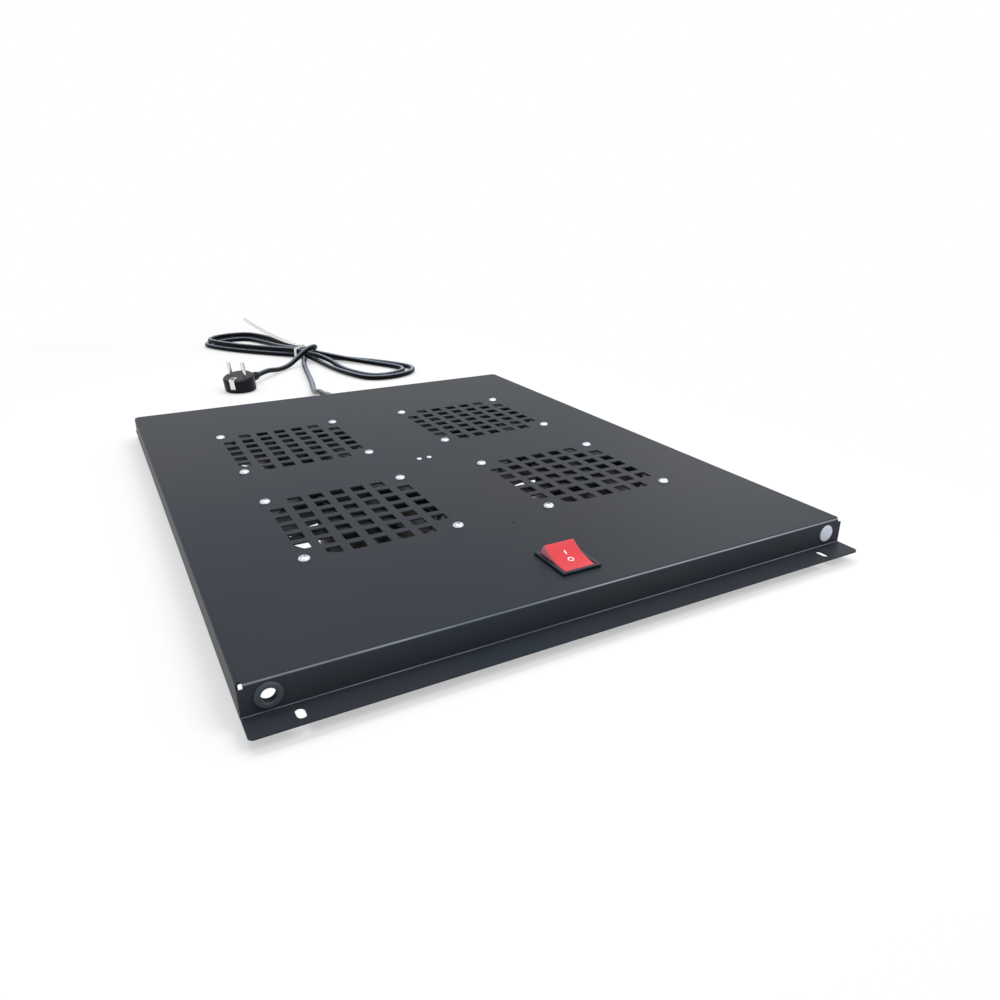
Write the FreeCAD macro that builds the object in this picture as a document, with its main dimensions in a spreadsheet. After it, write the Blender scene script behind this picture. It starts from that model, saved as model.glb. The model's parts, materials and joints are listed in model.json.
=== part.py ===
"""Rack fan tray: a folded steel plate with four 120 mm mains fans, a rocker switch and a mains lead.

Millimetres. +X is to the right, +Y to the back and +Z up. The origin is under the middle of the
tray, in the plane that the four fan frames stand on.
"""
import FreeCAD, Part
import Sketcher
import math
import os
import re

Vector = FreeCAD.Vector
doc = FreeCAD.newDocument("RackFanTray")

# --- Driving dimensions -----------------------------------------------------------------------

DIMENSIONS = [
    # folded plate
    ("plate_width", 408, "plate over the side walls"),
    ("plate_depth", 510, "plate from front wall to rear wall"),
    ("sheet", 1.2, "steel sheet"),
    ("bend_radius", 0.8, "inside radius of every bend"),
    ("wall_drop", 18, "top of the plate down to the top of a flange"),
    ("side_drop", 20, "top of the plate down to the foot of a side wall"),
    ("flange_reach", 17, "flange, out from its wall"),
    ("flange_corner", 3, "corner radius of a flange"),
    ("seam_gap", 1, "open seam between a side wall and an end wall"),
    ("relief", 3, "square relief notch where three faces meet"),
    # holes in the folded plate
    ("slot_pitch", 356, "flange slots, left to right"),
    ("slot_offset", 8.7, "end wall out to the middle of a slot"),
    ("slot_length", 9, "flange slot, end to end"),
    ("slot_width", 4.8, "flange slot, across"),
    ("grille_hole", 10, "square hole of the grille"),
    ("grille_pitch", 16, "square holes, middle to middle"),
    ("grille_count", 7, "square holes in a full row"),
    ("bush_inset", 14, "side of the plate in to the grommet and the plug"),
    ("bush_drop", 9, "top of the plate down to the grommet and the plug"),
    ("pilot_offset", 102, "front wall back to the pilot hole"),
    ("pilot_hole", 1.6, "pilot hole"),
    # grommet and blanking plug
    ("grommet_diameter", 14, "rim of the grommet"),
    ("grommet_neck", 10.4, "grommet in the wall"),
    ("grommet_bore", 7.8, "bore of the grommet"),
    ("grommet_rim", 1.7, "thickness of a rim of the grommet"),
    ("plug_diameter", 11.7, "face of the blanking plug"),
    ("plug_stem", 9.2, "stem of the blanking plug"),
    ("plug_face", 0.8, "thickness of the plug's face"),
    ("plug_length", 5, "stem of the blanking plug, behind the face"),
    # fans
    ("fan_pitch", 177, "fan middles, both ways"),
    ("fan_size", 120, "fan frame, square"),
    ("fan_depth", 25, "fan frame, deep"),
    ("fan_corner", 4, "corner radius of a fan frame"),
    ("fan_flange", 4, "corner flange of a fan frame"),
    ("duct_diameter", 115, "air duct of a fan"),
    ("duct_wall", 2, "wall of the duct"),
    ("duct_flare", 1.2, "flare at the ends of the duct"),
    ("base_diameter", 56, "motor base"),
    ("base_height", 20.6, "underside of the motor base over the ground"),
    ("base_thick", 3.2, "motor base and struts"),
    ("strut_width", 4.5, "strut of the motor base"),
    ("strut_offset", 12, "strut, sideways from the middle of the fan"),
    ("strut_count", 4, "struts"),
    ("tube_diameter", 11, "bearing tube"),
    ("tube_length", 13.1, "bearing tube, down from the base"),
    ("tube_end", 0.8, "metal left over the bearing bore"),
    ("shaft_diameter", 3, "motor shaft"),
    ("shaft_gap", 0.04, "running clearance of the shaft, on the radius"),
    ("bearing_diameter", 8, "outside of a bearing"),
    ("bearing_width", 4, "bearing"),
    ("seat_gap", 0.05, "clearance of a part pressed or set into a bore, on the radius"),
    ("core_diameter", 44.6, "stator core"),
    ("core_height", 10, "stack of the stator core"),
    ("core_lift", 7.2, "underside of the stator core over the ground"),
    ("pole_width", 10, "stator pole, across"),
    ("pole_shoe", 2.6, "rim of the stator core"),
    ("coil_thick", 2.2, "winding round a pole"),
    ("coil_inset", 9.4, "shaft axis out to a winding"),
    ("coil_length", 8, "winding, along its pole"),
    # rotor
    ("hub_diameter", 55, "rotor hub"),
    ("hub_wall", 2, "wall and floor of the hub"),
    ("hub_lift", 1.5, "hub over the ground"),
    ("hub_height", 18, "hub"),
    ("hub_edge", 1.2, "bevel round the hub's floor"),
    ("boss_diameter", 9, "boss for the shaft"),
    ("boss_height", 3, "boss for the shaft, over the hub's floor"),
    ("cage_thick", 2.2, "steel ring in the hub"),
    ("cage_height", 14, "steel ring in the hub, high"),
    ("blade_count", 7, "blades"),
    ("blade_thick", 1.5, "blade"),
    ("blade_gap", 1.2, "blade tip to duct"),
    ("root_reach", 7.5, "half the blade's root, along its travel"),
    ("root_rise", 7.2, "half the blade's root, upright"),
    ("tip_reach", 15.5, "half the blade's tip, along its travel"),
    ("tip_rise", 5.6, "half the blade's tip, upright"),
    ("blade_middle", 10.4, "middle of a blade over the ground"),
    ("blade_bow", 1.15, "how much longer than a straight line a blade's camber radius is made"),
    # fasteners of the fans
    ("screw_pitch", 105, "fan screws, both ways"),
    ("screw_hole", 4.4, "hole for a fan screw"),
    ("screw_diameter", 3.9, "fan screw"),
    ("screw_length", 12, "fan screw, under its head"),
    ("head_diameter", 8, "head of a fan screw"),
    ("head_height", 2.5, "head of a fan screw"),
    ("nut_width", 7, "nut across its flats"),
    ("nut_height", 3.2, "nut"),
    ("nut_gap", 0.06, "thread clearance of a nut, on the radius"),
    # rocker switch
    ("switch_offset", 35, "front wall back to the middle of the switch"),
    ("bezel_width", 27.2, "switch bezel, left to right"),
    ("bezel_depth", 33.8, "switch bezel, front to back"),
    ("bezel_height", 2.2, "switch bezel over the plate"),
    ("bezel_edge", 0.7, "rounding of the bezel"),
    ("housing_wall", 1.1, "wall of the switch housing"),
    ("housing_drop", 16, "switch housing below the plate"),
    ("housing_gap", 0.2, "switch housing in its cut-out, each side"),
    ("housing_floor", 2, "floor of the switch housing"),
    ("lug_reach", 1, "snap lug, out of the housing"),
    ("lug_height", 4, "snap lug"),
    ("lug_width", 9, "snap lug, front to back"),
    ("rocker_width", 21.4, "rocker, left to right"),
    ("rocker_reach", 14.6, "rocker, pivot to the sweep of its ends"),
    ("rocker_gap", 0.35, "rocker to its housing"),
    ("rocker_tilt", 16.4, "rocker from level, in degrees"),
    ("rocker_crest", 32, "end of the finger face above the pivot, in degrees"),
    ("rocker_skirt", 18, "end of the rocker's sweep below the pivot, in degrees"),
    ("rocker_dip", 5.8, "pivot up to the middle of the finger face"),
    ("rocker_edge", 0.5, "rounding of the finger face"),
    ("cam_width", 5, "cam under the rocker"),
    ("cam_reach", 9, "pivot down to the end of the cam"),
    ("pivot_drop", 2.1, "top of the plate down to the rocker's pivot"),
    ("pivot_diameter", 3, "pivot stub of the rocker"),
    ("pivot_length", 0.9, "pivot stub of the rocker, out of its side"),
    ("pivot_gap", 0.05, "running clearance of the pivot, on the radius"),
    ("tab_width", 6.3, "switch terminal, across"),
    ("tab_thick", 0.8, "switch terminal"),
    ("tab_length", 6.5, "switch terminal below the housing"),
    ("tab_row", 12, "switch terminals, left to right"),
    ("tab_column", 14, "switch terminals, front to back"),
    # terminal block
    ("pole_pitch", 9, "terminals of the block, middle to middle"),
    ("block_depth", 18, "terminal block, front to back"),
    ("block_height", 13, "terminal block"),
    ("block_screw", 2.4, "screw of the terminal block"),
    ("block_hole", 2.8, "hole for a screw of the terminal block"),
    ("block_head", 4.6, "head of a screw of the terminal block"),
    ("block_head_height", 1.3, "height of that head"),
    ("block_nut", 5, "nut of the terminal block, across its flats"),
    ("block_nut_height", 2, "nut of the terminal block"),
    ("clamp_width", 5, "brass clamp in the block"),
    ("clamp_length", 14, "brass clamp, along its wire"),
    ("clamp_depth", 4, "wire into its clamp"),
    ("clamp_drop", 6.5, "underside of the plate down to a wire hole"),
    ("clamp_screw", 2.2, "screw of a clamp"),
    ("clamp_screw_pitch", 7, "screws of one clamp, middle to middle"),
    ("lead_diameter", 3, "two-core lead of a fan"),
    ("lead_start", 38, "middle of the tray along the lane to where a fan's lead leaves its frame"),
    ("wire_diameter", 2.6, "single wire"),
    ("sheath_end", 84, "middle of the tray to the end of the mains cord's sheath"),
    ("sheath_gap", 0.3, "mains cord under the plate"),
    ("wire_touch", 0.1, "wire end off the face that it is soldered to"),
    ("wire_level", 4.5, "wire below the switch housing"),
    ("wire_run", 13, "wire straight back from its switch terminal"),
    ("block_lead_in", 10, "terminal block out to where a wire turns into it"),
    # earth point
    ("earth_side", 19, "middle of the tray, right to the earth stud"),
    ("earth_back", 54, "middle of the tray, back to the earth stud"),
    ("stud_diameter", 3.9, "earth stud"),
    ("stud_length", 9, "earth stud"),
    ("washer_diameter", 9, "washer on the earth stud"),
    ("washer_thick", 0.8, "washer and ring terminal"),
    ("tongue_width", 4, "tongue of the ring terminal"),
    ("tongue_length", 9, "tongue of the ring terminal, from the stud"),
    # mains lead
    ("cord_diameter", 7, "mains cord"),
    ("bush_hole", 12.4, "hole for the cord bush in the rear wall"),
    ("bush_collar", 16, "collar of the cord bush"),
    ("bush_collar_thick", 3, "collar of the cord bush, out of the wall"),
    ("bush_tail", 10, "thin end of the cord bush"),
    ("bush_length", 26, "cord bush, out of the wall"),
    ("bush_inside", 7, "cord bush, inside the wall"),
    ("bush_lip", 1.2, "lip of the cord bush behind the wall, and bevel of its end"),
    ("bush_snap", 0.9, "lip of the cord bush, over its hole"),
    ("cord_joint", 10, "rear wall out to the start of the free cord, inside the bush"),
    ("hank_length", 428, "hank of cord, end to end"),
    ("hank_width", 96, "widest loop of the hank"),
    ("hank_waist", 24, "hank under its tie"),
    ("hank_height", 15, "hank"),
    ("hank_strand", 17, "two turns side by side"),
    ("hank_opening", 72, "tie to the opening of a loop"),
    ("tie_width", 4.8, "strap of the cable tie"),
    ("tie_thick", 1.3, "strap of the cable tie"),
    ("tie_tail", 118, "free tail of the cable tie"),
    ("tie_rise", 17, "slope of the free tail, in degrees"),
    ("tie_room", 0.2, "cable tie off the cord"),
    ("tie_edge", 0.6, "rounding of the tie's head"),
    ("mains_plug_diameter", 38, "body of the mains plug"),
    ("mains_plug_height", 20, "middle of the plug's body, high"),
    ("mains_plug_lean", 11, "slant of the plug's back, in degrees"),
    ("mains_plug_edge", 3, "rounding of the plug's body"),
    ("pin_diameter", 4.8, "mains pin"),
    ("pin_length", 19, "mains pin"),
    ("pin_pitch", 19, "mains pins, middle to middle"),
    ("pin_seat", 8, "mains pin in the plug's body"),
    ("pin_round", 1.7, "rounding of a pin's tip"),
    ("clip_width", 7, "earth clip of the plug"),
    ("clip_thick", 1, "earth clip of the plug"),
    ("clip_inset", 1.6, "side of the plug in to the outer face of a clip"),
    ("clip_deep", 12, "clip on the far side from the cord, into the plug"),
    ("clip_shallow", 6, "clip on the cord's side, into the plug"),
    ("clip_fold", 9, "part of the far clip folded over the face"),
    ("clip_hole", 4.8, "hole in the folded part"),
    ("clip_proud", 0.1, "clip over the face of the plug"),
    ("neck_length", 28, "ribbed neck of the plug, out of its body"),
    ("neck_thick", 11.5, "neck of the plug at the body"),
    ("neck_thin", 8.4, "neck of the plug at the cord"),
    ("neck_root", 4, "neck inside the plug's body"),
    ("rib_count", 5, "ribs of the neck"),
    ("rib_width", 2, "rib of the neck"),
    ("rib_proud", 0.9, "rib of the neck, over the neck"),
]

sizes = doc.addObject("Spreadsheet::Sheet", "Sizes")
for row, (alias, size, meaning) in enumerate(DIMENSIONS, start=1):
    sizes.set(f"A{row}", meaning)
    sizes.set(f"B{row}", str(size))
    sizes.setAlias(f"B{row}", alias)
doc.recompute()
CELLS = {alias for alias, size, meaning in DIMENSIONS}

# Heights and depths that several pieces share, as formulas over the cells.
PLATE_TOP = "(fan_depth + sheet)"
FLANGE_TOP = "(fan_depth + sheet - wall_drop)"
HALF_WIDTH = "(plate_width / 2)"
HALF_DEPTH = "(plate_depth / 2)"
BUSH_HEIGHT = "(fan_depth + sheet - bush_drop)"
SWITCH_Y = "(switch_offset - plate_depth / 2)"
PIVOT_HEIGHT = "(fan_depth + sheet - pivot_drop)"
WINDOW_WIDTH = "(rocker_width + 2 * rocker_gap)"
WINDOW_DEPTH = "(2 * rocker_reach + 2 * rocker_gap)"
HUB_INSIDE = "(hub_diameter / 2 - hub_wall)"
BORE_TOP = "(base_height - tube_end)"
CLAMP_HEIGHT = "(fan_depth - clamp_drop)"
SHEATH_HEIGHT = "(fan_depth - cord_diameter / 2 - sheath_gap)"
TAB_FACE = f"({SWITCH_Y} + tab_column / 2 + tab_thick / 2)"
BLOCK_MOUTH = "(block_depth / 2 + block_lead_in)"
WIRE_END = "(clamp_length / 2 - clamp_depth)"

FANS = {"front_left": (-1, -1), "front_right": (1, -1), "rear_left": (-1, 1), "rear_right": (1, 1)}


# --- Helpers ----------------------------------------------------------------------------------

def linked(formula):
    """Turn a formula over cell names into an expression that reads the sheet."""
    return re.sub(r"[a-z][a-z_]+", lambda word: f"Sizes.{word[0]}" if word[0] in CELLS else word[0], formula)


def value(formula):
    """The present value of a formula, as a plain number."""
    result = sizes.evalExpression(linked(formula))
    return float(getattr(result, "Value", result))


def new_body(label):
    body = doc.addObject("PartDesign::Body", label)
    body.Label = label
    body.AllowCompound = True
    return body


def place(piece, x="0", y="0", z="0", axis=(0, 0, 1), angle=0):
    """Turn a piece about an axis through its origin, then bind its position to the sheet."""
    piece.Placement = FreeCAD.Placement(Vector(), FreeCAD.Rotation(Vector(*axis), angle))
    for letter, formula in zip("xyz", (x, y, z)):
        piece.setExpression(f"Placement.Base.{letter}", linked(formula))


def new_sketch(body, name, role="XY_Plane", offset="0"):
    """A sketch on one of the body's own planes, moved along the plane's normal."""
    sketch = body.newObject("Sketcher::SketchObject", name)
    plane = next(feature for feature in body.Origin.OriginFeatures if feature.Role == role)
    sketch.AttachmentSupport = (plane, [""])
    sketch.MapMode = "FlatFace"
    sketch.setExpression("AttachmentOffset.Base.z", linked(offset))
    return sketch


def dimension(sketch, kind, where, formula):
    index = sketch.addConstraint(Sketcher.Constraint(kind, *where, value(formula)))
    sketch.setExpression(f"Constraints[{index}]", linked(formula))


def pin_point(sketch, geometry, point, x, y):
    """Hold one point of a sketch at a place given by two formulas."""
    dimension(sketch, "DistanceX", (-1, 1, geometry, point), x)
    dimension(sketch, "DistanceY", (-1, 1, geometry, point), y)


def polygon(sketch, corners):
    points = [Vector(value(x), value(y), 0) for x, y in corners]
    first = sketch.GeometryCount
    for start, end in zip(points, points[1:] + points[:1]):
        sketch.addGeometry(Part.LineSegment(start, end))
    for index, (x, y) in enumerate(corners):
        following = first + (index + 1) % len(corners)
        sketch.addConstraint(Sketcher.Constraint("Coincident", first + index, 2, following, 1))
        pin_point(sketch, first + index, 1, x, y)


def rectangle(sketch, left, right, low, high):
    polygon(sketch, [(left, low), (right, low), (right, high), (left, high)])


def box_at(sketch, x, y, width, height):
    """A rectangle about its middle."""
    left, right = f"{x} - {width} / 2", f"{x} + {width} / 2"
    rectangle(sketch, left, right, f"{y} - {height} / 2", f"{y} + {height} / 2")


def circle(sketch, x, y, diameter):
    middle = Vector(value(x), value(y), 0)
    index = sketch.addGeometry(Part.Circle(middle, Vector(0, 0, 1), value(diameter) / 2))
    dimension(sketch, "Diameter", (index,), diameter)
    pin_point(sketch, index, 3, x, y)


def slot_along_y(sketch, x, y, length, width):
    """A slot with round ends, its length along the sketch's second axis."""
    radius = value(width) / 2
    straight = f"({length} - {width}) / 2"
    first = sketch.GeometryCount
    for sign, start in ((1, 0), (-1, math.pi)):
        middle = Vector(value(x), value(f"{y} + {sign} * {straight}"), 0)
        arc = Part.ArcOfCircle(Part.Circle(middle, Vector(0, 0, 1), radius), start, start + math.pi)
        sketch.addGeometry(arc)
    for side in (-1, 1):
        foot = Vector(value(x) + side * radius, value(f"{y} - {straight}"), 0)
        head = Vector(value(x) + side * radius, value(f"{y} + {straight}"), 0)
        sketch.addGeometry(Part.LineSegment(foot, head))
    upper, lower, left, right = range(first, first + 4)
    for line, line_end, arc, arc_end in ((right, 2, upper, 1), (left, 2, upper, 2),
                                         (left, 1, lower, 1), (right, 1, lower, 2)):
        sketch.addConstraint(Sketcher.Constraint("Tangent", line, line_end, arc, arc_end))
    dimension(sketch, "Radius", (upper,), f"{width} / 2")
    pin_point(sketch, upper, 3, x, f"{y} + {straight}")
    pin_point(sketch, lower, 3, x, f"{y} - {straight}")


def volume_of(body):
    return body.Shape.Volume if body.Tip else 0.0


def pad(body, sketch, length, symmetric=False, downward=False):
    before = volume_of(body)
    feature = body.newObject("PartDesign::Pad", f"{sketch.Name}_pad")
    feature.Profile = sketch
    feature.SideType = "Symmetric" if symmetric else "One side"
    feature.Reversed = downward
    feature.setExpression("Length", linked(length))
    doc.recompute()
    assert body.Shape.Volume > before, f"{feature.Name} adds nothing"
    return feature


def pocket(body, sketch, length, along_normal=False, symmetric=False, refine=True):
    """Cut against the sketch's normal, along it, or evenly both ways."""
    before = volume_of(body)
    feature = body.newObject("PartDesign::Pocket", f"{sketch.Name}_pocket")
    feature.Profile = sketch
    feature.Refine = refine
    feature.SideType = "Symmetric" if symmetric else "One side"
    feature.Reversed = along_normal
    feature.setExpression("Length", linked(length))
    doc.recompute()
    assert body.Shape.Volume < before, f"{feature.Name} cuts nothing"
    return feature


def revolve(body, sketch):
    feature = body.newObject("PartDesign::Revolution", f"{sketch.Name}_revolution")
    feature.Profile = sketch
    feature.ReferenceAxis = (sketch, ["V_Axis"])
    feature.Angle = 360
    doc.recompute()
    return feature


def axis_of(body, role):
    return (next(feature for feature in body.Origin.OriginFeatures if feature.Role == role), [""])


def linear(body, name, steps):
    """One linear pattern for each (axis role, pitch, count)."""
    patterns = []
    for role, pitch, count in steps:
        pattern = doc.addObject("PartDesign::LinearPattern", name)
        pattern.Direction = axis_of(body, role)
        pattern.Mode = "Spacing"
        pattern.setExpression("Offset", linked(pitch))
        pattern.setExpression("Occurrences", linked(count))
        patterns.append(pattern)
    return patterns


def polar(body, name, count):
    pattern = doc.addObject("PartDesign::PolarPattern", name)
    pattern.Axis = axis_of(body, "Z_Axis")
    pattern.Angle = 360
    pattern.setExpression("Occurrences", linked(count))
    return [pattern]


def repeat(body, feature, patterns):
    """Repeat a feature of a body through one pattern, or through several in turn."""
    if len(patterns) == 1:
        repeated = patterns[0]
        body.addObject(repeated)
        repeated.Originals = [feature]
    else:
        repeated = doc.addObject("PartDesign::MultiTransform", f"{feature.Name}_repeat")
        body.addObject(repeated)
        repeated.Originals = [feature]
        for pattern in patterns:
            body.addObject(pattern)
        repeated.Transformations = patterns
    body.Tip = repeated
    doc.recompute()
    return repeated


def fillet(body, radius, wanted):
    """Round the edges of the tip that a test on the edge picks out."""
    base = body.Tip
    names = [f"Edge{index}" for index, edge in enumerate(base.Shape.Edges, start=1) if wanted(edge)]
    assert names, f"no edge to round on {body.Label}"
    feature = body.newObject("PartDesign::Fillet", f"{body.Name}_fillet")
    feature.Base = (base, names)
    feature.setExpression("Radius", linked(radius))
    doc.recompute()
    return feature


def chamfer(body, size, wanted):
    base = body.Tip
    names = [f"Edge{index}" for index, edge in enumerate(base.Shape.Edges, start=1) if wanted(edge)]
    assert names, f"no edge to bevel on {body.Label}"
    feature = body.newObject("PartDesign::Chamfer", f"{body.Name}_chamfer")
    feature.Base = (base, names)
    feature.setExpression("Size", linked(size))
    doc.recompute()
    return feature


def straight_along(edge, axis):
    """Whether an edge is a straight line along x, y or z (0, 1 or 2)."""
    if not isinstance(edge.Curve, (Part.Line, Part.LineSegment)):
        return False
    direction = edge.tangentAt(edge.FirstParameter)
    return abs(abs(direction[axis]) - 1) < 1e-6


def middle_of(edge):
    return edge.valueAt((edge.FirstParameter + edge.LastParameter) / 2)


def near(first, second):
    return abs(first - second) < 1e-4


def turned(label, profile):
    """A body turned about its own Z axis from a profile of (radius, height) corners."""
    body = new_body(label)
    sketch = new_sketch(body, f"{label}_profile", "XZ_Plane")
    polygon(sketch, profile)
    revolve(body, sketch)
    return body


def fan_middle(corner):
    """The x and y formulas of a fan's axis."""
    side, end = FANS[corner]
    return f"{side} * fan_pitch / 2", f"{end} * fan_pitch / 2"


# --- The folded plate -------------------------------------------------------------------------

def tray_panel():
    """Plate, end walls, flanges and side walls folded from one sheet."""
    body = new_body("tray_panel")
    tip = f"({HALF_DEPTH} + flange_reach)"
    inner = f"({HALF_DEPTH} - sheet)"
    foot = f"({FLANGE_TOP} - sheet)"
    profile = new_sketch(body, "panel_profile", "YZ_Plane")
    polygon(profile, [
        (f"-{tip}", foot), (f"-{inner}", foot), (f"-{inner}", "fan_depth"),
        (inner, "fan_depth"), (inner, foot), (tip, foot), (tip, FLANGE_TOP), (HALF_DEPTH, FLANGE_TOP),
        (HALF_DEPTH, PLATE_TOP), (f"-{HALF_DEPTH}", PLATE_TOP), (f"-{HALF_DEPTH}", FLANGE_TOP),
        (f"-{tip}", FLANGE_TOP)])
    pad(body, profile, "plate_width", symmetric=True)

    half_depth = value(HALF_DEPTH)
    outside = {(half_depth, value(PLATE_TOP)), (value(inner), value(foot))}
    inside = {(half_depth, value(FLANGE_TOP)), (value(inner), value("fan_depth"))}

    def bend_line(places):
        def wanted(edge):
            middle = middle_of(edge)
            return straight_along(edge, 0) and any(
                near(abs(middle.y), depth) and near(middle.z, height) for depth, height in places)
        return wanted

    fillet(body, "bend_radius + sheet", bend_line(outside))
    fillet(body, "bend_radius", bend_line(inside))

    walls = new_sketch(body, "side_walls", "XZ_Plane")
    for side in (-1, 1):
        outer, back = f"{side} * {HALF_WIDTH}", f"{side} * ({HALF_WIDTH} - sheet)"
        rectangle(walls, outer, back, f"{PLATE_TOP} - side_drop", PLATE_TOP)
    pad(body, walls, "plate_depth - 2 * sheet - 2 * seam_gap", symmetric=True)

    notches = new_sketch(body, "corner_reliefs", offset=PLATE_TOP)
    for side in (-1, 1):
        for end in (-1, 1):
            rectangle(notches, f"{side} * ({HALF_WIDTH} - relief)", f"{side} * ({HALF_WIDTH} + sheet)",
                      f"{end} * ({HALF_DEPTH} - relief)", f"{end} * ({HALF_DEPTH} + sheet)")
    pocket(body, notches, "relief")

    half_width = value(HALF_WIDTH)
    outer_fold = {(half_width, value(PLATE_TOP))}
    inner_fold = {(half_width - value("sheet"), value("fan_depth"))}

    def fold_line(places):
        def wanted(edge):
            middle = middle_of(edge)
            return straight_along(edge, 1) and any(
                near(abs(middle.x), side) and near(middle.z, height) for side, height in places)
        return wanted

    fillet(body, "bend_radius + sheet", fold_line(outer_fold))
    fillet(body, "bend_radius", fold_line(inner_fold))
    fillet(body, "flange_corner", lambda edge: straight_along(edge, 2)
           and near(abs(middle_of(edge).y), value(tip)))

    grilles(body)
    plate_holes(body)
    wall_holes(body)
    return body


def grilles(body):
    """Seven by seven square holes over each fan, without the four at the corners."""
    reach = "(grille_count - 1) / 2 * grille_pitch"
    full = new_sketch(body, "grille_square", offset=PLATE_TOP)
    box_at(full, f"-fan_pitch / 2 - {reach} + grille_pitch", f"-fan_pitch / 2 - {reach}",
           "grille_hole", "grille_hole")
    rows = [("X_Axis", "grille_pitch", "grille_count - 2"), ("Y_Axis", "grille_pitch", "grille_count")]
    fans = [("X_Axis", "fan_pitch", "2"), ("Y_Axis", "fan_pitch", "2")]
    square = pocket(body, full, "sheet")
    repeat(body, square, linear(body, "grille_rows", rows) + linear(body, "grilles_per_fan", fans))

    side = new_sketch(body, "grille_side_square", offset=PLATE_TOP)
    box_at(side, f"-fan_pitch / 2 - {reach}", f"-fan_pitch / 2 - {reach} + grille_pitch",
           "grille_hole", "grille_hole")
    columns = [("X_Axis", f"2 * {reach}", "2"), ("Y_Axis", "grille_pitch", "grille_count - 2")]
    square = pocket(body, side, "sheet")
    repeat(body, square, linear(body, "grille_columns", columns) + linear(body, "columns_per_fan", fans))


def plate_holes(body):
    """Screw holes of the fans and of the terminal block, the switch cut-out and the pilot hole."""
    corner = "-(fan_pitch + screw_pitch) / 2"
    fan_hole = new_sketch(body, "fan_screw_hole", offset=PLATE_TOP)
    circle(fan_hole, corner, corner, "screw_hole")
    screws = [("X_Axis", "screw_pitch", "2"), ("Y_Axis", "screw_pitch", "2")]
    fans = [("X_Axis", "fan_pitch", "2"), ("Y_Axis", "fan_pitch", "2")]
    hole = pocket(body, fan_hole, "sheet")
    repeat(body, hole, linear(body, "holes_per_fan", screws) + linear(body, "holes_of_fans", fans))

    others = new_sketch(body, "middle_holes", offset=PLATE_TOP)
    for side in (-1, 1):
        circle(others, f"{side} * pole_pitch / 2", "0", "block_hole")
    circle(others, "0", "pilot_offset - plate_depth / 2", "pilot_hole")
    gap = "2 * (housing_wall + housing_gap)"
    box_at(others, "0", SWITCH_Y, f"({WINDOW_WIDTH} + {gap})", f"({WINDOW_DEPTH} + {gap})")
    pocket(body, others, "sheet")

    slots = new_sketch(body, "flange_slots", offset=FLANGE_TOP)
    for side in (-1, 1):
        for end in (-1, 1):
            slot_along_y(slots, f"{side} * slot_pitch / 2", f"{end} * ({HALF_DEPTH} + slot_offset)",
                         "slot_length", "slot_width")
    pocket(body, slots, "sheet")


def wall_holes(body):
    """Holes for the grommet and the blanking plug in front, and for the cord bush behind."""
    front = new_sketch(body, "front_wall_holes", "XZ_Plane", HALF_DEPTH)
    circle(front, f"-({HALF_WIDTH} - bush_inset)", BUSH_HEIGHT, "grommet_neck + 2 * seat_gap")
    circle(front, f"{HALF_WIDTH} - bush_inset", BUSH_HEIGHT, "plug_stem + 2 * seat_gap")
    pocket(body, front, "sheet")
    rear = new_sketch(body, "rear_wall_hole", "XZ_Plane", f"-{HALF_DEPTH}")
    circle(rear, "0", BUSH_HEIGHT, "bush_hole")
    pocket(body, rear, "sheet", along_normal=True)


def cable_grommet():
    """Rubber ring gripping the edge of its hole between two rims; its Z axis points out of the wall."""
    bore, neck, rim = "grommet_bore / 2", "grommet_neck / 2", "grommet_diameter / 2"
    body = turned("cable_grommet", [
        (bore, "-(sheet + grommet_rim)"), (f"{rim} - 0.6", "-(sheet + grommet_rim)"), (rim, "-(sheet + 0.6)"),
        (rim, "-sheet"), (neck, "-sheet"), (neck, "0"), (rim, "0"), (rim, "grommet_rim - 0.7"),
        (f"{rim} - 0.7", "grommet_rim"), (f"{bore} + 0.8", "grommet_rim"), (bore, "grommet_rim - 0.8")])
    place(body, f"-({HALF_WIDTH} - bush_inset)", f"-{HALF_DEPTH}", BUSH_HEIGHT, (1, 0, 0), 90)
    return body


def hole_plug():
    """Snap-in blanking plug: a flat face, and a hollow stem with a snap bead behind the wall."""
    face, stem = "plug_diameter / 2", "plug_stem / 2"
    body = turned("hole_plug", [
        ("0", "0"), (f"{stem} - 1", "0"), (f"{stem} - 1", "-plug_length"), (f"{stem} - 0.4", "-plug_length"),
        (f"{stem} + 0.35", "-(sheet + 0.6)"), (stem, "-sheet"), (stem, "0"), (face, "0"),
        (face, "plug_face - 0.3"), (f"{face} - 0.3", "plug_face"), ("0", "plug_face")])
    place(body, f"{HALF_WIDTH} - bush_inset", f"-{HALF_DEPTH}", BUSH_HEIGHT, (1, 0, 0), 90)
    return body


# --- The fans ---------------------------------------------------------------------------------

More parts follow.
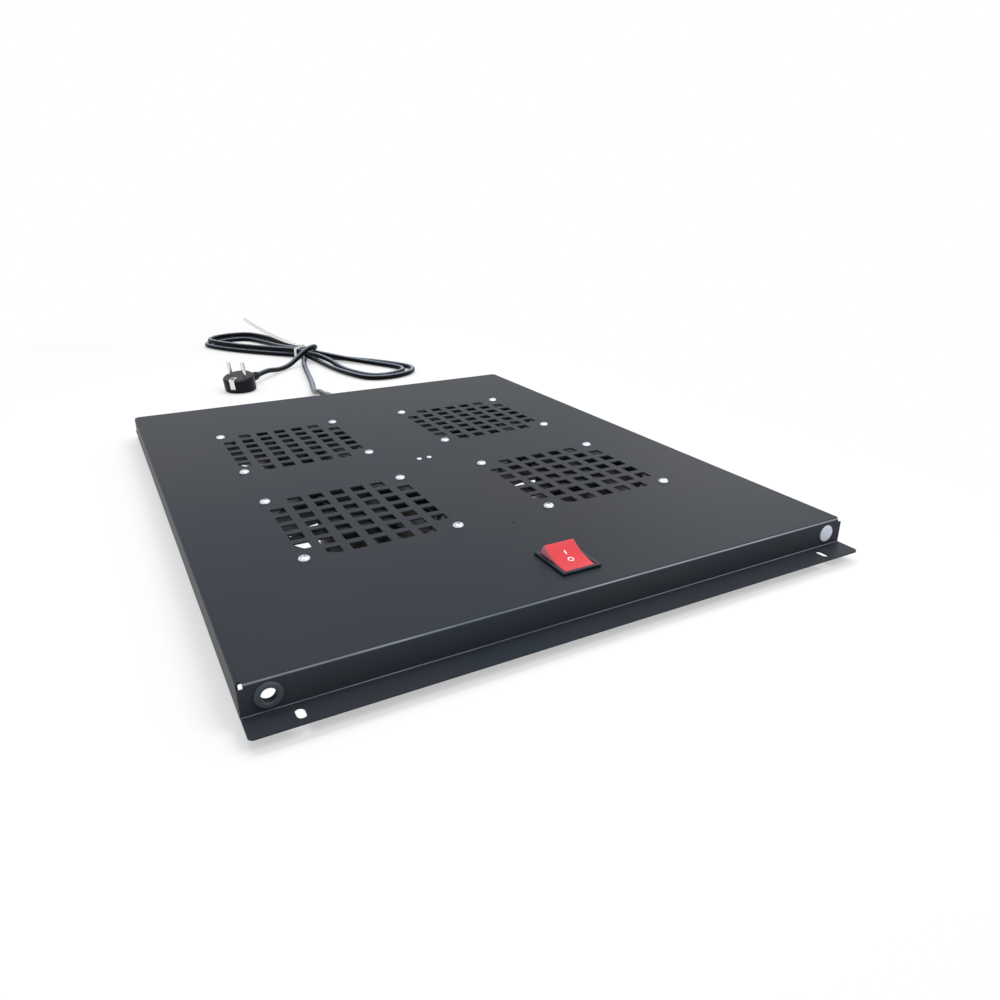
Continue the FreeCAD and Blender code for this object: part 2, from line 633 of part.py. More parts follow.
def fan_frame(corner):
    """Square frame round the air duct, with corner flanges, slanted struts and the bearing tube."""
    label = f"fan_frame_{corner}"
    body = new_body(label)
    outline = new_sketch(body, f"{label}_outline")
    box_at(outline, "0", "0", "fan_size", "fan_size")
    pad(body, outline, "fan_depth")
    fillet(body, "fan_corner", lambda edge: straight_along(edge, 2))

    waist = new_sketch(body, f"{label}_waist", offset="fan_depth - fan_flange")
    box_at(waist, "0", "0", "(fan_size + 2)", "(fan_size + 2)")
    circle(waist, "0", "0", "duct_diameter + 2 * duct_wall")
    pocket(body, waist, "fan_depth - 2 * fan_flange")

    duct = new_sketch(body, f"{label}_duct", offset="fan_depth")
    circle(duct, "0", "0", "duct_diameter")
    pocket(body, duct, "fan_depth")
    radius = value("duct_diameter / 2")
    ends = (0.0, value("fan_depth"))
    chamfer(body, "duct_flare", lambda edge: isinstance(edge.Curve, Part.Circle)
            and near(edge.Curve.Radius, radius) and any(near(middle_of(edge).z, end) for end in ends))

    holes = new_sketch(body, f"{label}_holes", offset="fan_depth")
    for side in (-1, 1):
        for end in (-1, 1):
            circle(holes, f"{side} * screw_pitch / 2", f"{end} * screw_pitch / 2", "screw_hole")
    pocket(body, holes, "fan_depth")

    strut = new_sketch(body, f"{label}_strut", offset="base_height")
    near_side, far_side = "(strut_offset - strut_width / 2)", "(strut_offset + strut_width / 2)"
    reach = "((duct_diameter + duct_wall) / 2)"
    polygon(strut, [("0", near_side), (f"sqrt({reach}^2 - {near_side}^2)", near_side),
                    (f"sqrt({reach}^2 - {far_side}^2)", far_side), ("0", far_side)])
    arm = pad(body, strut, "base_thick")
    repeat(body, arm, polar(body, f"{label}_struts", "strut_count"))
    base = new_sketch(body, f"{label}_base", offset="base_height")
    circle(base, "0", "0", "base_diameter")
    pad(body, base, "base_thick")

    tube = new_sketch(body, f"{label}_tube", offset="base_height")
    circle(tube, "0", "0", "tube_diameter")
    pad(body, tube, "tube_length", downward=True)
    bore = new_sketch(body, f"{label}_bore", offset="base_height - tube_length")
    circle(bore, "0", "0", "bearing_diameter + 2 * seat_gap")
    pocket(body, bore, "tube_length - tube_end", along_normal=True)
    place(body, *fan_middle(corner))
    return body


def stator_core(corner):
    """Stack of laminations: four poles inside a rim, with a window between each two."""
    label = f"stator_core_{corner}"
    body = new_body(label)
    ring = new_sketch(body, f"{label}_ring")
    circle(ring, "0", "0", "core_diameter")
    circle(ring, "0", "0", "tube_diameter + 2 * seat_gap")
    pad(body, ring, "core_height")
    side = "(pole_width / 2)"
    rim = "(core_diameter / 2 - pole_shoe)"
    window = new_sketch(body, f"{label}_window", offset="core_height")
    polygon(window, [(side, side), (f"sqrt({rim}^2 - {side}^2)", side),
                     (f"{rim} * cos(45)", f"{rim} * cos(45)"), (side, f"sqrt({rim}^2 - {side}^2)")])
    opening = pocket(body, window, "core_height")
    repeat(body, opening, polar(body, f"{label}_windows", "4"))
    place(body, *fan_middle(corner), "core_lift")
    return body


def stator_coils(corner):
    """Four windings, one round each pole."""
    label = f"stator_coils_{corner}"
    body = new_body(label)
    loop = new_sketch(body, f"{label}_loop", "YZ_Plane", "coil_inset")
    room = "2 * seat_gap"
    box_at(loop, "0", "core_height / 2", f"(pole_width + {room} + 2 * coil_thick)",
           f"(core_height + {room} + 2 * coil_thick)")
    box_at(loop, "0", "core_height / 2", f"(pole_width + {room})", f"(core_height + {room})")
    winding = pad(body, loop, "coil_length")
    repeat(body, winding, polar(body, f"{label}_round", "4"))
    place(body, *fan_middle(corner), "core_lift")
    return body


def fan_bearings(corner):
    """Two bearings, one at each end of the bore of the bearing tube."""
    label = f"fan_bearings_{corner}"
    body = new_body(label)
    section = new_sketch(body, f"{label}_section", "XZ_Plane")
    low = "(base_height - tube_length)"
    rectangle(section, "shaft_diameter / 2 + shaft_gap", "bearing_diameter / 2", low,
              f"{low} + bearing_width")
    lower = revolve(body, section)
    step = [("Z_Axis", "tube_length - tube_end - bearing_width", "2")]
    repeat(body, lower, linear(body, f"{label}_pair", step))
    place(body, *fan_middle(corner))
    return body


def fan_shaft(corner):
    """Shaft with bevelled ends: fixed in the hub's boss, free in the two bearings."""
    radius = "shaft_diameter / 2"
    low, high = "(hub_lift + hub_wall)", f"({BORE_TOP} - 0.5)"
    body = turned(f"fan_shaft_{corner}", [
        ("0", low), (f"{radius} - 0.3", low), (radius, f"{low} + 0.3"), (radius, f"{high} - 0.3"),
        (f"{radius} - 0.3", high), ("0", high)])
    place(body, *fan_middle(corner))
    return body


def rotor_cage(corner):
    """Steel ring of the outside rotor, seated in the hub."""
    outer = f"({HUB_INSIDE} - seat_gap)"
    low = "(hub_lift + hub_wall)"
    body = turned(f"rotor_cage_{corner}", [
        (f"{outer} - cage_thick", low), (outer, low), (outer, f"{low} + cage_height"),
        (f"{outer} - cage_thick", f"{low} + cage_height")])
    place(body, *fan_middle(corner))
    return body


def blade_section(sketch, reach, rise, middle):
    """A cambered section: two arcs of one curvature, and a straight nose and tail.

    The section runs from low at the nose to high at the tail, in the plane across the blade.
    """
    half = "(blade_thick / 2)"
    corners = [(f"-{reach}", f"{middle} - {rise} - {half}"), (reach, f"{middle} + {rise} - {half}"),
               (reach, f"{middle} + {rise} + {half}"), (f"-{reach}", f"{middle} - {rise} + {half}")]
    points = [Vector(value(x), value(y), 0) for x, y in corners]
    radius = f"(blade_bow * 2 * sqrt({reach}^2 + {rise}^2))"
    first = sketch.GeometryCount
    sketch.addGeometry(bowed(points[0], points[1], value(radius)))
    sketch.addGeometry(Part.LineSegment(points[1], points[2]))
    sketch.addGeometry(bowed(points[3], points[2], value(radius)))
    sketch.addGeometry(Part.LineSegment(points[3], points[0]))
    under, tail, over, nose = range(first, first + 4)
    under_start, under_end = arc_ends(sketch, under, points[0])
    over_start, over_end = arc_ends(sketch, over, points[3])
    for one, one_end, other, other_end in ((under, under_end, tail, 1), (tail, 2, over, over_end),
                                           (over, over_start, nose, 1), (nose, 2, under, under_start)):
        sketch.addConstraint(Sketcher.Constraint("Coincident", one, one_end, other, other_end))
    for geometry, point, (x, y) in ((nose, 2, corners[0]), (tail, 1, corners[1]),
                                    (tail, 2, corners[2]), (nose, 1, corners[3])):
        pin_point(sketch, geometry, point, x, y)
    for arc in (under, over):
        dimension(sketch, "Radius", (arc,), radius)


def bowed(start, end, radius):
    """The short arc of a given radius from start to end, bulging to the left of that direction."""
    chord = end - start
    left = Vector(-chord.y, chord.x, 0).normalize()
    middle = (start + end) / 2
    sagitta = radius - math.sqrt(radius ** 2 - (chord.Length / 2) ** 2)
    return sketch_arc(start, middle + left * sagitta, end)


def sketch_arc(start, middle, end):
    """The arc through three points, run counter-clockwise as sketches want it."""
    through = Part.Arc(start, middle, end).toShape().Curve
    if (middle - start).cross(end - middle).z < 0:
        start, end = end, start
    first = math.atan2(start.y - through.Center.y, start.x - through.Center.x)
    last = math.atan2(end.y - through.Center.y, end.x - through.Center.x)
    if last < first:
        last += 2 * math.pi
    return Part.ArcOfCircle(Part.Circle(through.Center, Vector(0, 0, 1), through.Radius), first, last)


def arc_ends(sketch, index, start):
    """Which end of a sketched arc lies at the given start: the pair (start end, other end)."""
    arc = sketch.Geometry[index]
    return (1, 2) if (arc.StartPoint - start).Length < 1e-6 else (2, 1)


def fan_rotor(corner):
    """Hub cup with a boss, and twisted blades lofted from a steep root to a flat tip."""
    label = f"fan_rotor_{corner}"
    hub, bore = "(hub_diameter / 2)", "(shaft_diameter / 2 + seat_gap)"
    floor, low = "(hub_lift + hub_wall)", "hub_lift"
    body = turned(label, [
        ("0", low), (f"{hub} - hub_edge", low), (hub, f"{low} + hub_edge"), (hub, f"{low} + hub_height"),
        (HUB_INSIDE, f"{low} + hub_height"), (HUB_INSIDE, floor), ("boss_diameter / 2", floor),
        ("boss_diameter / 2", f"{floor} + boss_height"), (bore, f"{floor} + boss_height"), (bore, floor),
        ("0", floor)])
    root = new_sketch(body, f"{label}_root", "YZ_Plane", f"{HUB_INSIDE} + hub_wall / 4")
    blade_section(root, "root_reach", "root_rise", "blade_middle")
    tip = new_sketch(body, f"{label}_tip", "YZ_Plane", "duct_diameter / 2")
    blade_section(tip, "tip_reach", "tip_rise", "blade_middle")
    doc.recompute()
    blade = body.newObject("PartDesign::AdditiveLoft", f"{label}_blade")
    blade.Profile = root
    blade.Sections = [tip]
    doc.recompute()
    repeat(body, blade, polar(body, f"{label}_blades", "blade_count"))
    trim = new_sketch(body, f"{label}_trim", offset="fan_depth")
    circle(trim, "0", "0", "fan_size + 20")
    circle(trim, "0", "0", "duct_diameter - 2 * blade_gap")
    pocket(body, trim, "fan_depth", refine=False)
    place(body, *fan_middle(corner))
    return body


def fan_screws():
    """Pan-head screws through the plate and the upper corner flanges of the fans."""
    body = new_body("fan_screws")
    head, shank = "(head_diameter / 2)", "(screw_diameter / 2)"
    section = new_sketch(body, "fan_screw_section", "XZ_Plane")
    polygon(section, [
        ("0", "-screw_length"), (f"{shank} - 0.4", "-screw_length"), (shank, "0.4 - screw_length"),
        (shank, "0"), (head, "0"), (head, "head_height * 0.4"), (f"{head} * 0.8", "head_height * 0.85"),
        (f"{head} * 0.4", "head_height"), ("0", "head_height")])
    screw = revolve(body, section)
    screws = [("X_Axis", "screw_pitch", "2"), ("Y_Axis", "screw_pitch", "2")]
    fans = [("X_Axis", "fan_pitch", "2"), ("Y_Axis", "fan_pitch", "2")]
    repeat(body, screw, linear(body, "screws_per_fan", screws) + linear(body, "screws_of_fans", fans))
    corner = "-(fan_pitch + screw_pitch) / 2"
    place(body, corner, corner, PLATE_TOP)
    return body


def hexagon(sketch, across):
    corners = [(f"{across} / 2 / cos(30) * cos({60 * turn})", f"{across} / 2 / cos(30) * sin({60 * turn})")
               for turn in range(6)]
    polygon(sketch, corners)


def fan_nuts():
    """Hexagon nuts under the upper corner flanges of the fans."""
    body = new_body("fan_nuts")
    outline = new_sketch(body, "fan_nut_outline")
    hexagon(outline, "nut_width")
    circle(outline, "0", "0", "screw_diameter + 2 * nut_gap")
    nut = pad(body, outline, "nut_height", downward=True)
    screws = [("X_Axis", "screw_pitch", "2"), ("Y_Axis", "screw_pitch", "2")]
    fans = [("X_Axis", "fan_pitch", "2"), ("Y_Axis", "fan_pitch", "2")]
    repeat(body, nut, linear(body, "nuts_per_fan", screws) + linear(body, "nuts_of_fans", fans))
    corner = "-(fan_pitch + screw_pitch) / 2"
    place(body, corner, corner, "fan_depth - fan_flange")
    return body


# --- The rocker switch ------------------------------------------------------------------------

def switch_housing():
    """Bezel on the plate, and a box below it that takes the rocker and snaps under the plate."""
    body = new_body("switch_housing")
    bezel = new_sketch(body, "switch_bezel")
    box_at(bezel, "0", "0", "bezel_width", "bezel_depth")
    pad(body, bezel, "bezel_height")
    top = value("bezel_height")
    fillet(body, "bezel_edge", lambda edge: near(middle_of(edge).z, top) or straight_along(edge, 2))
    outer_width = f"({WINDOW_WIDTH} + 2 * housing_wall)"
    box = new_sketch(body, "switch_box")
    box_at(box, "0", "0", outer_width, f"({WINDOW_DEPTH} + 2 * housing_wall)")
    pad(body, box, "sheet + housing_drop", downward=True)
    lugs = new_sketch(body, "switch_lugs", "XZ_Plane")
    under = "(sheet + seat_gap)"
    for side in (-1, 1):
        wall = f"{side} * {outer_width} / 2"
        polygon(lugs, [(f"{wall} - {side} * housing_wall / 2", f"-{under}"),
                       (f"{wall} + {side} * lug_reach", f"-{under}"),
                       (f"{wall} - {side} * housing_wall / 2", f"-{under} - lug_height")])
    pad(body, lugs, "lug_width", symmetric=True)
    window = new_sketch(body, "switch_window", offset="bezel_height")
    box_at(window, "0", "0", WINDOW_WIDTH, WINDOW_DEPTH)
    pocket(body, window, "bezel_height + sheet + housing_drop - housing_floor")
    socket = new_sketch(body, "switch_pivot_sockets", "YZ_Plane")
    circle(socket, "0", "-pivot_drop", "pivot_diameter + 2 * pivot_gap")
    pocket(body, socket, f"{WINDOW_WIDTH} + 2 * pivot_length", symmetric=True)
    place(body, "0", SWITCH_Y, PLATE_TOP)
    return body


def switch_rocker():
    """Rocker with a hollowed finger face, round ends about its pivot, two stubs and a cam."""
    body = new_body("switch_rocker")
    reach, crest, skirt = value("rocker_reach"), value("rocker_crest"), value("rocker_skirt")

    def on_sweep(degrees):
        angle = math.radians(degrees)
        return Vector(reach * math.cos(angle), reach * math.sin(angle), 0)

    back_top, back_end, back_foot = on_sweep(crest), on_sweep(0), on_sweep(-skirt)
    front_top, front_end, front_foot = on_sweep(180 - crest), on_sweep(180), on_sweep(180 + skirt)
    section = new_sketch(body, "rocker_section", "YZ_Plane")
    section.addGeometry(sketch_arc(back_top, Vector(0, value("rocker_dip"), 0), front_top))
    section.addGeometry(sketch_arc(front_top, front_end, front_foot))
    section.addGeometry(Part.LineSegment(front_foot, back_foot))
    section.addGeometry(sketch_arc(back_foot, back_end, back_top))
    face, front, floor, back = range(4)
    face_start, face_end = arc_ends(section, face, back_top)
    front_start, front_finish = arc_ends(section, front, front_top)
    back_start, back_finish = arc_ends(section, back, back_foot)
    joints = [(face, face_end, front, front_start), (front, front_finish, floor, 1),
              (floor, 2, back, back_start), (back, back_finish, face, face_start)]
    for joint in joints:
        section.addConstraint(Sketcher.Constraint("Coincident", *joint))
    across, up = "(rocker_reach * cos(rocker_crest))", "(rocker_reach * sin(rocker_crest))"
    dip = f"({up} - rocker_dip)"
    pin_point(section, face, face_start, across, up)
    pin_point(section, face, face_end, f"-{across}", up)
    dimension(section, "Radius", (face,), f"({across}^2 + {dip}^2) / (2 * {dip})")
    for end, side in ((1, -1), (2, 1)):
        pin_point(section, floor, end, f"{side} * rocker_reach * cos(rocker_skirt)",
                  "-rocker_reach * sin(rocker_skirt)")
    dimension(section, "Radius", (front,), "rocker_reach")
    dimension(section, "Radius", (back,), "rocker_reach")
    pad(body, section, "rocker_width", symmetric=True)
    lowest, rim = value(up) - value(dip) - 0.01, value("rocker_width / 2")

    def round_the_face(edge):
        middle = middle_of(edge)
        at_side = near(abs(middle.x), rim) and abs(middle.y) < 1
        return middle.z > lowest and (straight_along(edge, 0) or at_side)

    fillet(body, "rocker_edge", round_the_face)

    cam = new_sketch(body, "rocker_cam", "YZ_Plane")
    rectangle(cam, "-cam_width / 2", "cam_width / 2", "-cam_reach", "0")
    pad(body, cam, "rocker_width / 2", symmetric=True)
    stub = new_sketch(body, "rocker_stub", "YZ_Plane")
    circle(stub, "0", "0", "pivot_diameter")
    pad(body, stub, "rocker_width + 2 * pivot_length - 2 * pivot_gap", symmetric=True)
    place(body, "0", SWITCH_Y, PIVOT_HEIGHT, (1, 0, 0), value("rocker_tilt"))
    return body


def switch_terminals():
    """Four blade terminals under the switch."""
    body = new_body("switch_terminals")
    blades = new_sketch(body, "switch_blades")
    for side in (-1, 1):
        for end in (-1, 1):
            box_at(blades, f"{side} * tab_row / 2", f"{end} * tab_column / 2", "tab_width", "tab_thick")
    pad(body, blades, "tab_length", downward=True)
    place(body, "0", SWITCH_Y, "fan_depth - housing_drop")
    return body


# --- Terminal block and earth point -----------------------------------------------------------

POLES = (-1, 0, 1)


def terminal_block():
    """Three-pole strip under the plate; its local Z axis points down."""
    body = new_body("terminal_block")
    strip = new_sketch(body, "block_strip")
    box_at(strip, "0", "0", "(3 * pole_pitch)", "block_depth")
    pad(body, strip, "block_height")
    fillet(body, "1", lambda edge: straight_along(edge, 2))
    channels = new_sketch(body, "block_channels", "XZ_Plane")
    width = "(clamp_width + 2 * seat_gap)"
    for pole in POLES:
        box_at(channels, f"{pole} * pole_pitch", "clamp_drop", width, width)
    pocket(body, channels, "block_depth", symmetric=True)
    holes = new_sketch(body, "block_holes", offset="block_height")
    for side in (-1, 1):
        circle(holes, f"{side} * pole_pitch / 2", "0", "block_hole")
    pocket(body, holes, "block_height")
    access = new_sketch(body, "block_screw_access", offset="block_height")
    for pole in POLES:
        for end in (-1, 1):
            circle(access, f"{pole} * pole_pitch", f"{end} * clamp_screw_pitch / 2", "(clamp_screw + 1)")
    pocket(body, access, "block_height - clamp_drop")
    place(body, "0", "0", "fan_depth", (1, 0, 0), 180)
    return body


def terminal_clamps():
    """Square brass sleeves in the channels of the block."""
    body = new_body("terminal_clamps")
    sleeves = new_sketch(body, "clamp_sleeves", "XZ_Plane")
    for pole in POLES:
        box_at(sleeves, f"{pole} * pole_pitch", CLAMP_HEIGHT, "clamp_width", "clamp_width")
        circle(sleeves, f"{pole} * pole_pitch", CLAMP_HEIGHT, "lead_diameter + 2 * seat_gap")
    pad(body, sleeves, "clamp_length", symmetric=True)
    taps = new_sketch(body, "clamp_taps", offset=f"{CLAMP_HEIGHT} - clamp_width / 2")
    for pole in POLES:
        for end in (-1, 1):
            circle(taps, f"{pole} * pole_pitch", f"{end} * clamp_screw_pitch / 2",
                   "clamp_screw + 2 * nut_gap")
    pocket(body, taps, "(clamp_width - lead_diameter) / 2", along_normal=True)
    place(body)
    return body


def clamp_screws():
    """Grub screws up into the clamps, two to a pole."""
    body = new_body("clamp_screws")
    ends = new_sketch(body, "clamp_screw_ends", offset="fan_depth - block_height + 1")
    for pole in POLES:
        for end in (-1, 1):
            circle(ends, f"{pole} * pole_pitch", f"{end} * clamp_screw_pitch / 2", "clamp_screw")
    pad(body, ends, "block_height - 1 - clamp_drop - lead_diameter / 2 - seat_gap")
    place(body)
    return body


def block_screws():
    """Two small pan-head screws through the plate and the terminal block."""
    body = new_body("block_screws")
    section = new_sketch(body, "block_screw_section", "XZ_Plane")
    head, shank = "(block_head / 2)", "(block_screw / 2)"
    end = "(sheet + block_height + block_nut_height + 0.5)"
    polygon(section, [
        ("0", f"-{end}"), (shank, f"-{end}"), (shank, "0"), (head, "0"), (head, "block_head_height * 0.4"),
        (f"{head} * 0.7", "block_head_height"), ("0", "block_head_height")])
    screw = revolve(body, section)
    repeat(body, screw, linear(body, "block_screw_pair", [("X_Axis", "pole_pitch", "2")]))
    place(body, "-pole_pitch / 2", "0", PLATE_TOP)
    return body


def block_nuts():
    body = new_body("block_nuts")
    outline = new_sketch(body, "block_nut_outline")
    hexagon(outline, "block_nut")
    circle(outline, "0", "0", "block_screw + 2 * nut_gap")
    nut = pad(body, outline, "block_nut_height", downward=True)
    repeat(body, nut, linear(body, "block_nut_pair", [("X_Axis", "pole_pitch", "2")]))
    place(body, "-pole_pitch / 2", "0", "fan_depth - block_height")
    return body


def earth_stud():
    """Stud welded to the underside of the plate."""
    radius = "stud_diameter / 2"
    body = turned("earth_stud", [
        ("0", "-stud_length"), (f"{radius} - 0.4", "-stud_length"), (radius, "0.4 - stud_length"),
        (radius, "0"), ("0", "0")])
    place(body, "earth_side", "earth_back", "fan_depth")
    return body


def earth_terminal():
    """Ring terminal on the stud, its tongue pointing back to its core."""
    body = new_body("earth_terminal")
    ring = new_sketch(body, "earth_ring")
    circle(ring, "0", "0", "washer_diameter")
    pad(body, ring, "washer_thick", downward=True)
    tongue = new_sketch(body, "earth_tongue")
    rectangle(tongue, "-tongue_width / 2", "tongue_width / 2", "washer_diameter / 4", "tongue_length")
    pad(body, tongue, "washer_thick", downward=True)
    hole = new_sketch(body, "earth_ring_hole")
    circle(hole, "0", "0", "stud_diameter + 2 * nut_gap")
    pocket(body, hole, "washer_thick")
    place(body, "earth_side", "earth_back", "fan_depth")
    return body


def earth_nut():
    body = new_body("earth_nut")
    outline = new_sketch(body, "earth_nut_outline")
    hexagon(outline, "nut_width")
    circle(outline, "0", "0", "stud_diameter + 2 * nut_gap")
    pad(body, outline, "nut_height", downward=True)
    place(body, "earth_side", "earth_back", "fan_depth - washer_thick")
    return body


# --- Wires and cords --------------------------------------------------------------------------

def route_wire(label, points):
    """Straight runs joined by arcs; each arc takes 0.45 of the shorter run beside it."""
    edges, radii = [], []
    start = points[0]
    for before, corner, after in zip(points, points[1:], points[2:]):
        arriving, leaving = corner - before, after - corner
        turn = arriving.getAngle(leaving)
        trim = 0.45 * min(arriving.Length, leaving.Length)
        radius = trim / math.tan(turn / 2)
        enter = corner - arriving.normalize() * trim
        leave = corner + leaving.normalize() * trim
        to_middle = (leaving - arriving).normalize()
        centre = corner + to_middle * (radius / math.cos(turn / 2))
        edges.append(Part.LineSegment(start, enter).toShape())
        edges.append(Part.Arc(enter, centre - to_middle * radius, leave).toShape())
        radii.append(radius)
        start = leave
    edges.append(Part.LineSegment(start, points[-1]).toShape())
    wire = Part.Wire(edges)
    print(f"{label}: length {wire.Length:.1f}, radii {', '.join(f'{radius:.0f}' for radius in radii)}")
    return wire


def swept(label, route, diameter):
    """A round wire or cord along a route of (x, y, z) formulas."""
    points = [Vector(*(value(formula) for formula in point)) for point in route]
    wire = route_wire(label, points)
    radius = value(diameter) / 2
    ring = Part.Wire([Part.Circle(points[0], points[1] - points[0], radius).toShape()])
    solid = wire.makePipeShell([ring], True, False)
    expected = math.pi * radius ** 2 * wire.Length
    assert abs(solid.Volume / expected - 1) < 0.01, f"{label}: volume {solid.Volume:.0f}, not {expected:.0f}"
    return solid


def feature(label, shape):
    piece = doc.addObject("Part::Feature", label)
    piece.Label = label
    piece.Shape = shape
    return piece


def fan_lead(corner):
    """Two-core lead from the side of a fan frame, under the plate, into its pole of the block."""
    side, end = FANS[corner]
    frame_side = f"{side} * (fan_pitch - fan_size) / 2"
    pole = f"{side} * pole_pitch"
    high = "(fan_depth - fan_flange / 2)"
    start = f"{end} * lead_start"
    route = [(frame_side, start, high), (f"({frame_side} + {pole}) / 2", start, high),
             (pole, f"{end} * {BLOCK_MOUTH}", CLAMP_HEIGHT), (pole, f"{end} * {WIRE_END}", CLAMP_HEIGHT)]
    return feature(f"fan_lead_{corner}", swept(f"fan_lead_{corner}", route, "lead_diameter"))


def mains_sheath():
    """Sheathed part of the mains cord inside the tray, from inside the bush along the lane."""
    route = [("0", f"{HALF_DEPTH} + cord_joint", BUSH_HEIGHT), ("0", f"{HALF_DEPTH} - 40", BUSH_HEIGHT),
             ("0", f"{HALF_DEPTH} - 90", SHEATH_HEIGHT), ("-3", f"{HALF_DEPTH} - 140", SHEATH_HEIGHT),
             ("0", "sheath_end", SHEATH_HEIGHT)]
    return feature("mains_sheath", swept("mains_sheath", route, "cord_diameter"))


def at_switch(side):
    """A wire's end: from the face of its switch terminal straight back, clear below the housing."""
    across = f"{side} * tab_row / 2"
    return [(across, f"{TAB_FACE} + wire_touch", "wire_level"),
            (across, f"{TAB_FACE} + wire_run", "wire_level")]


def mains_cores():
    """The three cores that come out of the sheath: to the block, to the switch and to the earth."""
    start, high = "sheath_end", SHEATH_HEIGHT
    aside = "(cord_diameter / 2 - wire_diameter / 2 - 0.5)"
    neutral = [("0", start, f"{high} - 1.2"), ("-0.5", "48", f"{high} - 1.6"),
               ("0", BLOCK_MOUTH, CLAMP_HEIGHT), ("0", WIRE_END, CLAMP_HEIGHT)]
    live = [(f"-{aside}", start, f"{high} + 0.9"), ("-9", "64", f"{high} - 1"), ("-18", "38", "15"),
            ("-19.5", "8", "13.8"), ("-19.5", "-24", "14.5"), ("-18", "-56", "19"), ("-16.5", "-92", "22.4"),
            ("-17", "-140", "22"), ("-13", f"{TAB_FACE} + 2.4 * wire_run", "19")]
    live += reversed(at_switch(-1))
    earth = [(aside, start, f"{high} + 0.9"), (f"{aside} + 4", f"{start} - 6", f"{high} + 1.6"),
             ("earth_side - 1", "earth_back + tongue_length + 7", "fan_depth - 1.6"),
             ("earth_side", "earth_back + tongue_length - 2", "fan_depth - 1.6")]
    solids = [swept(name, route, "wire_diameter")
              for name, route in (("neutral core", neutral), ("live core", live), ("earth core", earth))]
    return feature("mains_cores", Part.makeCompound(solids))


def switch_wire():
    """Switched live from the right-hand terminal of the switch back to the middle pole."""
    route = at_switch(1)
    route += [("11", f"{TAB_FACE} + 2.4 * wire_run", "19"), ("15", "-140", "22.4"), ("13", "-90", "22.6"),
              ("4", "-46", "21.5"), ("0", f"-{BLOCK_MOUTH}", CLAMP_HEIGHT),
              ("0", f"-{WIRE_END}", CLAMP_HEIGHT)]
    return feature("switch_wire", swept("switch_wire", route, "wire_diameter"))


def cord_bush():
    """Moulded bush that grips the cord in the rear wall and tapers off behind; Z points out."""
    bore, stem = "(cord_diameter / 2 + seat_gap)", "(bush_hole / 2 - seat_gap)"
    body = turned("cord_bush", [
        (bore, "-(sheet + bush_inside)"), (f"{stem} - bush_lip", "-(sheet + bush_inside)"),
        (f"{stem} + bush_snap", "-(sheet + bush_lip)"), (f"{stem} + bush_snap", "-sheet"), (stem, "-sheet"),
        (stem, "0"),
        ("bush_collar / 2", "0"), ("bush_collar / 2", "bush_collar_thick - 0.8"),
        ("bush_collar / 2 - 0.8", "bush_collar_thick"), ("bush_tail / 2 + 1.5", "bush_collar_thick"),
        ("bush_tail / 2", "bush_length"), (bore, "bush_length")])
    place(body, "0", HALF_DEPTH, BUSH_HEIGHT, (1, 0, 0), -90)
    return body


# The hank lies behind the tray: its tie stands over HANK_MIDDLE and its far loop points along
# HANK_HEADING. The mains plug lies on its back over PLUG_MIDDLE, its cord leaving along PLUG_HEADING.
HANK_MIDDLE = Vector(54, 590, 0)
HANK_HEADING = 113.5
PLUG_MIDDLE = Vector(-70, 425, 0)
PLUG_HEADING = 50
GROUND_GAP = 0.1

TRAY_ROUTE = [("0", f"{HALF_DEPTH} + cord_joint", BUSH_HEIGHT), ("0", "306", BUSH_HEIGHT),
              ("2", "335", "9.2"), ("8", "368", "3.7"), ("17", "406", "3.6"), ("25", "450", "3.7"),
              ("34", "496", "3.6"), ("46", "542", "5"), ("56", "580", "7.5")]


def plug_point(forward, height):
    """A place on the plug's cord line, forward from the middle of its body."""
    heading = math.radians(PLUG_HEADING)
    return PLUG_MIDDLE + Vector(forward * math.cos(heading), forward * math.sin(heading), height)


def mains_cord():
    """The cord from the bush over the ground into the hank."""
    return feature("mains_cord", swept("mains_cord", TRAY_ROUTE, "cord_diameter"))


def plug_cord():
    """The cord from the hank to the neck of the mains plug."""
    neck = value("mains_plug_diameter / 2 + neck_length")
    level = value("mains_plug_height / 2") + GROUND_GAP
    exit_point, lead_in = plug_point(neck, level), plug_point(neck + 22, level)
    route = [tuple(exit_point), tuple(lead_in), (-2, 506, 4.6), (20, 544, 4), (47, 580.8, 7.5)]
    texts = [tuple(f"{number:.4f}" for number in point) for point in route]
    return feature("plug_cord", swept("plug_cord", texts, "cord_diameter"))


def capsule(first, first_radius, second, second_radius, height):
    """The flat hull of two circles on the X axis: a loop's outline, thickened upwards."""
    span = second - first
    lean = math.asin((second_radius - first_radius) / span)
    side = Vector(-math.sin(lean), math.cos(lean), 0)
    corners = [Vector(first, 0, 0) + side * first_radius, Vector(second, 0, 0) + side * second_radius]
    corners += [Vector(corner.x, -corner.y, 0) for corner in reversed(corners)]
    flank = Part.Face(Part.makePolygon(corners + corners[:1])).extrude(Vector(0, 0, height))
    near_end = Part.makeCylinder(first_radius, height, Vector(first, 0, 0))
    far_end = Part.makeCylinder(second_radius, height, Vector(second, 0, 0))
    return flank.multiFuse([near_end, far_end]).removeSplitter()


